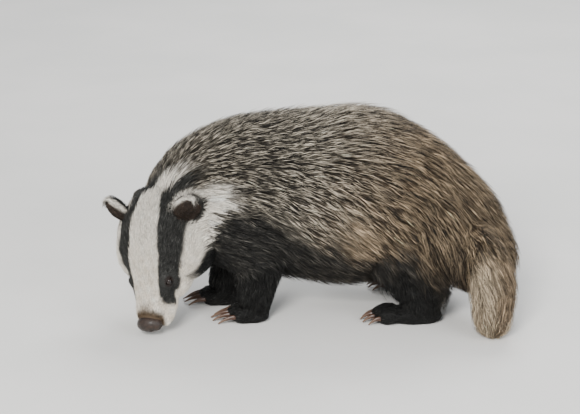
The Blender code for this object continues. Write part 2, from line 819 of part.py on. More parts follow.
def main():
    clear_scene()
    finishes = make_finishes()
    parts = {}
    torso, neck = make_trunk()
    make_face(parts, neck)
    limbs = make_limbs(parts, torso, neck)
    tail = fused("tail", [loft("tail_core", flesh(TAIL), TAIL_ROWS, up=(1, 0, 0), sides=16)], LIMB_VOXEL, 200)
    make_coats(parts, torso, neck, tail, limbs)
    for spare in (*limbs, parts.pop("whole_head")[0]):
        bpy.data.objects.remove(spare)
    for body, finish in parts.values():
        set_finish(body, finishes[finish])
    return stand_on_origin([body for body, _ in parts.values()])


if __name__ == "__main__":
    main()
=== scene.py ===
"""A European badger at life size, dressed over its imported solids.

The badger walks towards -X and sniffs at the ground by its left front paw. Every place below is laid out
round the middle of its back, in metres, and each finished piece is moved at the end by the same step that
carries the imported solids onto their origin.
"""

import logging
import math
from collections.abc import Sequence
from dataclasses import dataclass, field
from enum import Enum

import bmesh
import bpy
import numpy as np
from mathutils import Matrix, Vector
from mathutils.bvhtree import BVHTree
from mathutils.kdtree import KDTree


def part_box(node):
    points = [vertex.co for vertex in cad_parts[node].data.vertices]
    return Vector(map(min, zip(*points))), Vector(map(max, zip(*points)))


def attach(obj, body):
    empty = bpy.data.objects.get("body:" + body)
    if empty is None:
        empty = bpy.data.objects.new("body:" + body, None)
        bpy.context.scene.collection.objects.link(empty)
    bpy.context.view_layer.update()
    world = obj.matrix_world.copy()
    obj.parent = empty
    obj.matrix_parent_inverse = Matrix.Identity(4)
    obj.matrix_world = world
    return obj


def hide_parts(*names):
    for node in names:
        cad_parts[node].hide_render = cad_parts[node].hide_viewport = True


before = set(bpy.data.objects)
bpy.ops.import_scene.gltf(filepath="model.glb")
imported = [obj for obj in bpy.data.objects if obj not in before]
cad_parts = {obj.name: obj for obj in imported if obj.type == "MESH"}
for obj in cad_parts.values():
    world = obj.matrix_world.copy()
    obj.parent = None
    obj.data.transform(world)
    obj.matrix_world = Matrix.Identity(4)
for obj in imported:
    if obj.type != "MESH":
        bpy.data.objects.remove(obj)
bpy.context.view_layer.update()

log = logging.getLogger("badger")

Array = np.ndarray
Colour = tuple[float, float, float]
Point = tuple[float, float, float]
Range = tuple[float, float]
Stations = Sequence[tuple[float, ...]]

ROOT = "root"
NOSE_MIDDLE = Vector((-0.17058, -0.10889, 0.01650))
STEP = (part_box("nose")[0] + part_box("nose")[1]) / 2 - NOSE_MIDDLE
SIDES = (("left", 1), ("right", -1))
EYE_RADIUS = 0.0046
BRIGHTEST = 0.85


class Region(Enum):
    """The parts of the pelt, each with its own lie, length and density."""

    TRUNK = 0
    HEAD = 1
    FORELEG_LEFT = 2
    FORELEG_RIGHT = 3
    HINDLEG_LEFT = 4
    HINDLEG_RIGHT = 5
    TAIL = 6
    FOREPAW_LEFT = 7
    FOREPAW_RIGHT = 8
    HINDPAW_LEFT = 9
    HINDPAW_RIGHT = 10
    EAR_LEFT = 11
    EAR_RIGHT = 12

    def is_limb(self) -> bool:
        """Returns whether the region is a leg or a paw."""
        return "LEG" in self.name or "PAW" in self.name


EARS = ((1, Region.EAR_LEFT), (-1, Region.EAR_RIGHT))


def unit(vector: Array) -> Array:
    """Returns the vector, or each row of vectors, at length one."""
    vector = np.asarray(vector, float)
    return vector / np.maximum(np.linalg.norm(vector, axis=-1, keepdims=True), 1e-9)


def ease(low: float | Array, high: float | Array, values: Array) -> Array:
    """Rises smoothly from 0 to 1 between two bounds.

    Args:
        low: Where the rise starts.
        high: Where it ends. It may lie below low, and the rise then runs the other way.
        values: The values to rate.

    Returns:
        One share for each value.
    """
    share = np.clip((np.asarray(values, float) - low) / (np.asarray(high) - low), 0, 1)
    return share * share * (3 - 2 * share)


def blended(first: Array | Colour, second: Array | Colour, share: Array) -> Array:
    """Turns one row of values into another by a share for each place.

    Args:
        first: One row for each place, or a single row for all.
        second: The same, for where the share is 1.
        share: One share for each place.

    Returns:
        One row for each place.
    """
    share = np.asarray(share)[:, None]
    return np.asarray(first) * (1 - share) + np.asarray(second) * share


def smooth_rows(rows: Stations, count: int) -> Array:
    """Rows of numbers on one smooth curve through the given rows, as a Catmull-Rom spline.

    Args:
        rows: The rows that the curve passes through.
        count: How many rows to return.

    Returns:
        An array of count rows.
    """
    table = np.array(rows, float)
    padded = np.vstack([2 * table[0] - table[1], table, 2 * table[-1] - table[-2]])
    at = np.linspace(0, len(table) - 1, count)
    start = np.minimum(at.astype(int), len(table) - 2)
    x = (at - start)[:, None]
    a, b, c, d = (padded[start + k] for k in range(4))
    cubic = (2 * a - 5 * b + 4 * c - d) * x**2 + (3 * b - a - 3 * c + d) * x**3
    return 0.5 * (2 * b + (c - a) * x + cubic)


def vertex_values(body: bpy.types.Object, what: str) -> Array:
    """Returns a measure of three numbers of an object's vertices, one row each."""
    flat = np.empty(len(body.data.vertices) * 3)
    body.data.vertices.foreach_get(what, flat)
    return flat.reshape(-1, 3)


def vertex_places(body: bpy.types.Object) -> Array:
    """Returns the places of an object's vertices, one row each."""
    return vertex_values(body, "co")


def set_places(body: bpy.types.Object, places: Array) -> None:
    """Moves an object's vertices to the given places."""
    body.data.vertices.foreach_set("co", np.ascontiguousarray(places, float).ravel())
    body.data.update()


def add_colours(mesh: bpy.types.Mesh, name: str, colours: Array) -> None:
    """Adds a colour attribute from one row of red, green and blue a vertex."""
    opaque = np.ones((len(colours), 4))
    opaque[:, :3] = colours
    mesh.attributes.new(name, "FLOAT_COLOR", "POINT").data.foreach_set("color", opaque.ravel())


def add_vectors(mesh: bpy.types.Mesh, name: str, vectors: Array) -> None:
    """Adds an attribute of up to three numbers a vertex, the missing ones 0."""
    full = np.zeros((len(vectors), 3))
    full[:, : vectors.shape[1]] = vectors
    mesh.attributes.new(name, "FLOAT_VECTOR", "POINT").data.foreach_set("vector", full.ravel())


def only(*bodies: bpy.types.Object) -> None:
    """Selects only these objects and makes the first one active."""
    bpy.ops.object.select_all(action="DESELECT")
    for body in bodies:
        body.select_set(True)
    bpy.context.view_layer.objects.active = bodies[0]


def applied(body: bpy.types.Object, kind: str, **settings: float | str | bpy.types.Object) -> None:
    """Adds a modifier to an object and applies it.

    Args:
        body: The object.
        kind: Blender's name of the modifier.
        **settings: Values of the modifier's properties.
    """
    only(body)
    change = body.modifiers.new(kind, kind)
    for name, value in settings.items():
        setattr(change, name, value)
    bpy.ops.object.modifier_apply(modifier=change.name)


def melted(body: bpy.types.Object, voxel: float, iterations: int) -> None:
    """Makes one closed surface of an object's shells, and smooths it.

    Args:
        body: The object.
        voxel: The size of the surface's squares.
        iterations: How many times it is smoothed.
    """
    applied(body, "REMESH", mode="VOXEL", voxel_size=voxel)
    applied(body, "SMOOTH", factor=0.5, iterations=iterations)


def shade_smooth(body: bpy.types.Object) -> None:
    """Lets the light run smoothly over an object's faces."""
    only(body)
    bpy.ops.object.shade_smooth()


def face_out(body: bpy.types.Object) -> None:
    """Turns every face of a closed object outwards.

    Args:
        body: The object.
    """
    only(body)
    bpy.ops.object.mode_set(mode="EDIT")
    bpy.ops.mesh.select_all(action="SELECT")
    bpy.ops.mesh.normals_make_consistent(inside=False)
    bpy.ops.object.mode_set(mode="OBJECT")


def joined(name: str, bodies: list[bpy.types.Object]) -> bpy.types.Object:
    """Joins objects into one.

    Args:
        name: The name of the whole.
        bodies: The objects, which become one mesh of several shells.

    Returns:
        The joined object.
    """
    only(*bodies)
    if len(bodies) > 1:
        bpy.ops.object.join()
    whole = bpy.context.view_layer.objects.active
    whole.name = name
    whole.data.name = name
    return whole


def ball(
    name: str, centre: Point | Vector, radii: Point, turn: Matrix | None = None, segments: int = 32
) -> bpy.types.Object:
    """An ellipsoid from the sphere primitive, its place in its mesh.

    Args:
        name: The name.
        centre: Its middle.
        radii: Its three radii on its own axes.
        turn: Its own axes as a 3 by 3 matrix.
        segments: How many meridians it has.

    Returns:
        The ellipsoid.
    """
    bpy.ops.mesh.primitive_uv_sphere_add(segments=segments, ring_count=segments * 2 // 3, radius=1)
    made = bpy.context.object
    made.name = name
    place = Matrix.Translation(Vector(centre)) @ (turn.to_4x4() if turn else Matrix.Identity(4))
    made.data.transform(place @ Matrix.Diagonal((*radii, 1)))
    return made


def tube(name: str, stations: Stations, rings: int, sides: int, up: Point) -> bpy.types.Object:
    """A closed tube of unlike oval sections, shaped from the sphere primitive ring by ring.

    Args:
        name: The name.
        stations: Rows of x, y, z, half width, height above and depth below.
        rings: How many rings it has.
        sides: How many points a ring has.
        up: The direction that the sections' tops lean to.

    Returns:
        The tube.
    """
    bpy.ops.mesh.primitive_uv_sphere_add(segments=sides, ring_count=rings + 1, radius=1)
    made = bpy.context.object
    made.name = name
    round_places = vertex_places(made)
    ring = np.rint(np.arccos(np.clip(round_places[:, 2], -1, 1)) / math.pi * (rings + 1)).astype(int)
    angle = np.arctan2(round_places[:, 1], round_places[:, 0])
    is_pole = (ring == 0) | (ring == rings + 1)
    rows = smooth_rows([station[:6] for station in stations], rings)
    ways = unit(np.gradient(rows[:, :3], axis=0))
    lefts = unit(np.cross(up, ways))
    tops = np.cross(ways, lefts)
    at = np.clip(ring - 1, 0, rings - 1)
    height = np.sin(angle)
    across = rows[at, 3] * np.cos(angle) * ~is_pole
    raised = height * np.where(height > 0, rows[at, 4], rows[at, 5]) * ~is_pole
    set_places(made, rows[at, :3] + lefts[at] * across[:, None] + tops[at] * raised[:, None])
    face_out(made)
    return made


@dataclass(frozen=True)
class HeadAxes:
    """The head's own axes: forwards to the nose, to its left, and up out of its brow."""

    nose_tip: Point = (-0.1710, -0.112, 0.0080)
    aim: Point = (-0.100, -0.490, -0.866)
    left_hint: Point = (0.866, -0.440, 0.240)
    pad_middle: Point = (0.0085, 0, 0.0030)
    pad_reach: Point = (0.0115, 0.0165, 0.0120)

    def turn(self) -> Matrix:
        """Returns the three axes as the columns of a matrix."""
        forward = unit(self.aim)
        up = unit(np.cross(forward, self.left_hint))
        return Matrix((forward, np.cross(up, forward), up)).transposed()

    def place(self, back: float, left: float, up: float) -> Vector:
        """Returns the place that lies so far behind the nose tip, to its left and up."""
        return Vector(self.nose_tip) + self.turn() @ Vector((-back, left, up))

    def way(self, forward: float, left: float, up: float) -> Vector:
        """Returns a direction of the head on the animal's axes."""
        return (self.turn() @ Vector((forward, left, up))).normalized()

    def measure(self, places: Array) -> tuple[Array, Array, Array]:
        """How far places lie behind the nose tip, to its left and up.

        Args:
            places: One row a place.

        Returns:
            Three arrays: back, left and up.
        """
        own = (places - np.array(self.nose_tip)) @ np.array(self.turn())
        return -own[:, 0], own[:, 1], own[:, 2]

    def pad_share(self, places: Array) -> Array:
        """Returns how far places are from the middle of the nose pad, as a share of its reach."""
        offset = np.stack(self.measure(places), axis=1) - self.pad_middle
        return np.linalg.norm(offset / self.pad_reach, axis=1)


class Spine:
    """A chain of oval sections that places can be measured from, a block of them at a time."""

    block = 20000

    def __init__(self, stations: Stations, up: Point, samples: int = 121) -> None:
        """Lays the chain.

        Args:
            stations: Rows of x, y, z, half width, height above, depth below and the coat's depth.
            up: The direction that the sections' tops lean to.
            samples: How finely the chain is laid.
        """
        self.rows = smooth_rows(stations, samples)
        self.ways = unit(np.gradient(self.rows[:, :3], axis=0))
        self.lefts = unit(np.cross(up, self.ways))
        self.tops = np.cross(self.ways, self.lefts)
        steps = np.linalg.norm(np.diff(self.rows[:, :3], axis=0), axis=1)
        self.passed = np.concatenate([[0], np.cumsum(steps)])

    def measure(self, places: Array) -> dict[str, Array]:
        """Measures places from the chain.

        Args:
            places: One row a place.

        Returns:
            along: metres along the chain. angle: degrees from the top, towards +Y on the trunk.
            fullness: distance as a share of the section's reach. depth: the coat's depth there.
            way: the chain's direction.
        """
        nearest = np.empty(len(places), int)
        for start in range(0, len(places), self.block):
            part = slice(start, start + self.block)
            offsets = places[part, None, :] - self.rows[None, :, :3]
            nearest[part] = np.argmin((offsets**2).sum(axis=2), axis=1)
        offset = places - self.rows[nearest, :3]
        across = (offset * self.lefts[nearest]).sum(axis=1)
        raised = (offset * self.tops[nearest]).sum(axis=1)
        beyond = (offset * self.ways[nearest]).sum(axis=1)
        tall = np.where(raised > 0, self.rows[nearest, 4], self.rows[nearest, 5])
        wide = self.rows[nearest, 3]
        fullness = np.sqrt((across / wide) ** 2 + (raised / tall) ** 2 + (beyond / wide) ** 2)
        return {
            "along": self.passed[nearest],
            "angle": np.degrees(np.arctan2(across, raised)),
            "fullness": fullness,
            "depth": self.rows[nearest, 6],
            "way": self.ways[nearest],
        }


@dataclass(frozen=True)
class Build:
    """The badger's body: its sections, muscles, paws and the places on its head."""

    trunk: Stations = (
        (-0.152, -0.029, 0.114, 0.054, 0.057, 0.050, 0.003),
        (-0.116, -0.014, 0.130, 0.076, 0.088, 0.074, 0.006),
        (-0.068, -0.006, 0.140, 0.092, 0.106, 0.094, 0.009),
        (-0.015, 0.006, 0.143, 0.097, 0.109, 0.104, 0.011),
        (0.040, 0.013, 0.147, 0.104, 0.107, 0.117, 0.012),
        (0.095, 0.011, 0.148, 0.108, 0.106, 0.118, 0.012),
        (0.145, 0.004, 0.138, 0.107, 0.086, 0.104, 0.012),
        (0.186, -0.012, 0.120, 0.098, 0.062, 0.086, 0.011),
        (0.215, -0.034, 0.099, 0.081, 0.040, 0.062, 0.010),
        (0.234, -0.052, 0.079, 0.062, 0.030, 0.042, 0.009),
        (0.247, -0.068, 0.059, 0.038, 0.022, 0.024, 0.007),
    )
    muscles: tuple[tuple[Point, Point], ...] = (
        ((0.160, -0.050, 0.098), (0.056, 0.038, 0.066)),
        ((0.160, 0.054, 0.098), (0.056, 0.036, 0.066)),
        ((-0.044, -0.042, 0.114), (0.042, 0.036, 0.062)),
        ((-0.066, 0.034, 0.114), (0.042, 0.036, 0.062)),
    )
    skull: Stations = (
        (0.005, 0.001, 0.0145, 0.0110, 0.0125, 0.0010),
        (0.017, 0.000, 0.0190, 0.0150, 0.0165, 0.0012),
        (0.036, 0.000, 0.0235, 0.0190, 0.0210, 0.0014),
        (0.056, 0.001, 0.0300, 0.0250, 0.0260, 0.0018),
        (0.078, 0.002, 0.0400, 0.0330, 0.0340, 0.0022),
        (0.102, 0.002, 0.0490, 0.0395, 0.0400, 0.0026),
        (0.128, 0.000, 0.0540, 0.0430, 0.0420, 0.0030),
        (0.152, -0.004, 0.0540, 0.0410, 0.0400, 0.0034),
        (0.170, -0.006, 0.0470, 0.0350, 0.0330, 0.0036),
    )
    face_lumps: tuple[tuple[Point, Point], ...] = (
        ((0.108, 0.037, -0.013), (0.0400, 0.0258, 0.0328)),
        ((0.124, 0.038, -0.018), (0.0390, 0.0288, 0.0350)),
        ((0.080, 0.026, -0.013), (0.0340, 0.0165, 0.0190)),
        ((0.037, 0.0155, -0.009), (0.0290, 0.0130, 0.0100)),
        ((0.058, 0.010, -0.018), (0.0290, 0.0140, 0.0120)),
    )
    legs: dict[str, Stations] = field(
        default_factory=lambda: {
            "foreleg_left": [
                (-0.036, -0.044, 0.100, 0.030, 0.036, 0.034, 0.004),
                (-0.036, -0.050, 0.070, 0.026, 0.030, 0.029, 0.004),
                (-0.041, -0.053, 0.042, 0.022, 0.025, 0.025, 0.003),
                (-0.045, -0.053, 0.020, 0.021, 0.022, 0.023, 0.002),
            ],
            "foreleg_right": [
                (-0.066, 0.022, 0.100, 0.030, 0.036, 0.034, 0.004),
                (-0.070, 0.016, 0.070, 0.026, 0.030, 0.029, 0.004),
                (-0.078, 0.011, 0.042, 0.022, 0.025, 0.025, 0.003),
                (-0.083, 0.010, 0.020, 0.021, 0.022, 0.023, 0.002),
            ],
            "hindleg_left": [
                (0.150, -0.052, 0.085, 0.032, 0.052, 0.048, 0.005),
                (0.156, -0.056, 0.058, 0.027, 0.042, 0.042, 0.005),
                (0.164, -0.058, 0.036, 0.022, 0.030, 0.032, 0.003),
                (0.168, -0.058, 0.018, 0.019, 0.021, 0.024, 0.002),
            ],
            "hindleg_right": [
                (0.160, 0.052, 0.085, 0.032, 0.050, 0.046, 0.005),
                (0.168, 0.056, 0.058, 0.027, 0.040, 0.040, 0.005),
                (0.176, 0.058, 0.036, 0.022, 0.030, 0.030, 0.003),
                (0.180, 0.058, 0.018, 0.019, 0.021, 0.022, 0.002),
            ],
        }
    )
    paws: dict[str, tuple[float, float, float, float, float, float]] = field(
        default_factory=lambda: {
            "forepaw_left": (-0.050, -0.052, 4, 0.046, 0.046, 0.022),
            "forepaw_right": (-0.088, 0.010, 8, 0.046, 0.046, 0.022),
            "hindpaw_left": (0.146, -0.058, 2, 0.080, 0.043, 0.015),
            "hindpaw_right": (0.158, 0.058, 10, 0.080, 0.043, 0.015),
        }
    )
    tail: Stations = (
        (0.224, -0.050, 0.104, 0.025, 0.024, 0.024, 0.005),
        (0.239, -0.076, 0.085, 0.028, 0.026, 0.026, 0.006),
        (0.246, -0.095, 0.058, 0.029, 0.026, 0.026, 0.006),
        (0.246, -0.106, 0.034, 0.027, 0.023, 0.023, 0.007),
        (0.246, -0.111, 0.013, 0.021, 0.017, 0.017, 0.007),
    )
    ear_place: Point = (0.142, 0.044, 0.020)
    ear_radius: float = 0.0185
    cup_start: Point = (0, 0.34, 0.02)
    cup_radii: Point = (0.74, 0.62, 0.80)
    toe_height: float = 0.0088
    toes: tuple[int, ...] = (-2, -1, 0, 1, 2)
    sunk: float = 0.0008

    def flesh(self, stations: Stations) -> Stations:
        """The sections under the coat, a little inside the solids.

        Args:
            stations: Rows of x, y, z, half width, height above, depth below and the coat's depth.

        Returns:
            The rows without the coat's depth, each section smaller by it.
        """
        thinner = []
        for x, y, z, half, above, below, coat in stations:
            less = coat + self.sunk
            thinner.append((x, y, z, half - less, above - less, below - less))
        return thinner

    def skull_stations(self, head: HeadAxes) -> Stations:
        """Returns the skull's sections at their places, out to the fur's tips."""
        return [
            (*head.place(back, 0, axis), half, above, below, coat)
            for back, axis, half, above, below, coat in self.skull
        ]

    def paw_frame(self, paw: str) -> Matrix:
        """Returns a paw's own axes: x to its toes, y to its right, z up from under its middle."""
        x, y, heading = self.paws[paw][:3]
        return Matrix.Translation((x, y, 0)) @ Matrix.Rotation(math.pi - math.radians(heading), 4, "Z")

    def toe_root(self, paw: str, toe: int) -> tuple[Vector, Vector]:
        """Returns where a toe's claw starts and which way it points, on the paw's own axes."""
        length, width = self.paws[paw][3:5]
        root = Vector((length * 0.5 + 0.004 - 0.0021 * toe * toe, toe * width * 0.205, self.toe_height))
        return root, Vector((1, 0.10 * toe, -0.06)).normalized()

    def ear_axes(self, head: HeadAxes, side: int) -> tuple[Vector, Vector, Vector]:
        """An ear's own axes.

        Args:
            head: The head's axes.
            side: 1 for the left ear and -1 for the right.

        Returns:
            Its middle, the way it stands up and the way its cup opens.
        """
        up = head.way(-0.55, 0.72 * side, 0.42)
        mouth = head.way(0.62, 0.58 * side, 0.40)
        mouth = (mouth - up * mouth.dot(up)).normalized()
        back, left, high = self.ear_place
        return head.place(back, side * left, high) + up * self.ear_radius * 0.50, up, mouth

    def ear_offset(self, head: HeadAxes, side: int, places: Array) -> Array:
        """Returns how places lie from an ear's middle, as shares of its radius."""
        middle, _, _ = self.ear_axes(head, side)
        return (places - np.array(middle)) / self.ear_radius

    def cup_share(self, head: HeadAxes, side: int, places: Array) -> Array:
        """Measures how far places are from the middle of an ear's cup.

        Args:
            head: The head's axes.
            side: 1 for the left ear and -1 for the right.
            places: One row a place.

        Returns:
            The distance of each as a share of the cup's reach.
        """
        _, up, mouth = self.ear_axes(head, side)
        offset = self.ear_offset(head, side, places)
        axes = (up.cross(mouth), mouth, up)
        parts = [
            (offset @ np.array(axis) - start) / radius
            for axis, start, radius in zip(axes, self.cup_start, self.cup_radii)
        ]
        return np.linalg.norm(parts, axis=0)


@dataclass(frozen=True)
class Tones:
    """The linear colours of skin and hair."""

    white: Colour = (0.78, 0.735, 0.655)
    worn_white: Colour = (0.62, 0.53, 0.42)
    stripe: Colour = (0.030, 0.030, 0.028)
    black: Colour = (0.009, 0.009, 0.0085)
    grey: Colour = (0.150, 0.132, 0.104)
    brown: Colour = (0.150, 0.100, 0.058)
    buff: Colour = (0.36, 0.270, 0.175)
    tail: Colour = (0.42, 0.340, 0.240)
    ear_lining: Colour = (0.034, 0.024, 0.018)
    lid: Colour = (0.017, 0.0125, 0.011)
    pale_tip: Colour = (0.56, 0.50, 0.40)
    buff_tip: Colour = (0.46, 0.345, 0.220)
    band: Colour = (0.008, 0.007, 0.006)


class Markings:
    """Where the badger is white, black, grey and buff, for its skin and coat alike.

    Each pair of rows below gives a measure against another. On the head, the middle of the crown, and the
    inner edge of the stripes in metres and the outer in degrees, go by the distance behind the nose. On the
    trunk, the angles where black starts and where the neck's white patch ends go by the distance along the
    spine, and the light on the coat by x.
    """

    crown_line = ((0.156, 0.178, 0.20), (0, 0.019, 0.044))
    stripe_inner = (
        (0.00, 0.018, 0.036, 0.059, 0.082, 0.105, 0.130, 0.155, 0.175),
        (0.011, 0.0135, 0.0165, 0.0178, 0.0205, 0.0192, 0.0190, 0.0135, 0.0125),
    )
    stripe_outer = (
        (0.030, 0.040, 0.063, 0.085, 0.109, 0.134, 0.148, 0.165),
        (112, 106, 93, 74, 70, 74, 80, 120),
    )
    patch_low = ((0, 0.030, 0.045, 0.060, 0.075), (110, 96, 82, 77, 75))
    patch_high = ((0, 0.03, 0.09), (44, 48, 56))
    black_start = ((*patch_low[0], 0.115, 0.17, 0.30, 0.46), (*patch_low[1], 90, 106, 101, 99))
    light = ((-0.12, -0.05, 0.00, 0.05, 0.11, 0.20), (0.58, 0.62, 0.92, 0.90, 0.56, 0.42))
    buff_middle = (0.074, 0.011, 0.124)
    buff_reach = (0.030, 0.026)

    def __init__(self, build: Build, head: HeadAxes, tones: Tones) -> None:
        """Keeps the body's measures.

        Args:
            build: The badger's sections.
            head: The head's axes.
            tones: The colours.
        """
        self.build = build
        self.head = head
        self.tones = tones

    def of_head(self, places: Array) -> tuple[Array, Array]:
        """The head's white with its two black stripes.

        Args:
            places: One row a place.

        Returns:
            The colour of each place, and how much of it counts against the trunk's colour.
        """
        tones = self.tones
        back, left, up = self.head.measure(places)
        middle = np.interp(back, *self.crown_line)
        inner = np.interp(back, *self.stripe_inner)
        angle = np.degrees(np.arctan2(np.abs(left), up))
        outer = np.interp(back, *self.stripe_outer)
        off_middle = np.abs(left - middle)
        is_stripe = ease(inner - 0.0008, inner + 0.0012, off_middle)
        is_stripe *= ease(outer + 2.5, outer - 2.5, angle)
        rounding = 0.007 * (np.clip(angle - 88, -35, 35) / 30) ** 2
        is_stripe *= ease(0.0290, 0.0335, back - rounding)
        is_throat = ease(91, 98, angle - 60 * (0.11 - back)) * ease(0.060, 0.075, back)
        worn = 0.5 + 0.5 * np.sin(back * 330 + left * 190 + 0.7) * np.sin(left * 310 - back * 140)
        colour = blended(tones.white, tones.worn_white, 0.55 * worn * ease(0.13, 0.05, back))
        snout = ease(0.038, 0.017, back + 0.6 * np.abs(left)) * ease(-0.004, 0.004, up)
        colour = blended(colour, np.array(tones.brown) * 0.6, 0.85 * snout)
        round_pad = ease(1.62, 1.12, self.head.pad_share(places))
        colour = blended(colour, np.array(tones.brown) * 0.45, round_pad)
        colour = blended(colour, tones.stripe, is_stripe)
        colour = blended(colour, tones.black, is_throat)
        wave = 0.004 * np.sin(left * 900) + 0.003 * np.sin(left * 2100 + 1)
        share = ease(0.204, 0.176, back + wave + 2.5 * np.maximum(off_middle - 0.027, 0))
        return colour, share

    def of_trunk(self, places: Array, measures: dict[str, Array]) -> tuple[Array, Array, Array]:
        """The trunk's grizzled grey, its black underside, its brown rump and the pale places on it.

        Args:
            places: One row a place.
            measures: The places measured from the trunk's spine.

        Returns:
            The colour at the hair's root, the colour of its tip, and how strongly it is banded.
        """
        tones = self.tones
        along, angle = measures["along"], np.abs(measures["angle"])
        wave = 7 * np.sin(places[:, 0] * 70 + 1.3) + 5 * np.sin(places[:, 0] * 151 + places[:, 2] * 90)
        dark_from = np.interp(along, *self.black_start) + wave * ease(0.08, 0.12, along)
        is_dark = ease(dark_from - 9, dark_from + 9, angle)
        low_hind = ease(0.138, 0.090, places[:, 2]) * ease(0.075, 0.105, places[:, 0])
        is_dark = np.maximum(is_dark, 0.85 * low_hind * ease(0.215, 0.195, places[:, 0]))
        rearward = ease(-0.02, 0.13, places[:, 0] + 0.5 * (0.17 - places[:, 2]))
        light = np.interp(places[:, 0], *self.light)[:, None]
        base = blended(tones.grey, tones.brown, rearward) * light
        tip = blended(tones.pale_tip, tones.buff_tip, rearward) * light**0.75
        offset = (places - self.buff_middle)[:, ::2] / self.buff_reach
        is_buff = ease(1.35, 0.30, np.linalg.norm(offset, axis=1) + 0.02 * wave) * ease(60, 80, angle)
        base = blended(base, tones.buff, 0.85 * is_buff)
        tip = blended(tip, np.array(tones.buff) * 1.15, 0.7 * is_buff)
        is_dark = is_dark * (1 - 0.9 * is_buff)
        base = blended(base, tones.black, is_dark)
        tip = blended(tip, np.array(tones.black) * 1.8, 0.96 * is_dark)
        low = np.interp(along, *self.patch_low)
        high = np.interp(along, *self.patch_high)
        is_patch = ease(low + 2, low - 3, angle) * ease(high - 4, high + 5, angle)
        on_right = ease(0, 30, measures["angle"])
        is_patch *= ease(0.086, 0.068, along + wave * 0.0003 + 0.022 * on_right)
        base = blended(base, tones.white, is_patch)
        tip = blended(tip, tones.white, is_patch)
        banded = (1 - is_patch) * (1 - 0.8 * is_dark) * (1 - 0.15 * is_buff)
        return base, tip, banded

    def of_ears(self, places: Array, side: int) -> Array:
        """The ear's black back, brown lining and white rim, with painted shade darkening it towards its
        middle, deep in the cup.

        Args:
            places: One row a place.
            side: 1 for the left ear and -1 for the right.

        Returns:
            The colour of each place.
        """
        tones = self.tones
        offset = self.build.ear_offset(self.head, side, places)
        crown_side = offset @ np.array(self.head.way(-0.75, -0.45 * side, 0.10))
        near = np.linalg.norm(offset, axis=1)
        within = self.build.cup_share(self.head, side, places)
        colour = blended(np.array(tones.black) * 2, tones.ear_lining, ease(1.25, 1.10, within))
        # Painted shade: the colour darkens towards the ear's middle, down to a quarter at the bottom of the
        # cup.
        colour = colour * (0.25 + 0.75 * ease(0.30, 0.80, near))[:, None]
        rim = ease(0.05, 0.35, crown_side) * ease(0.76, 0.88, near)
        return blended(colour, tones.white, rim)


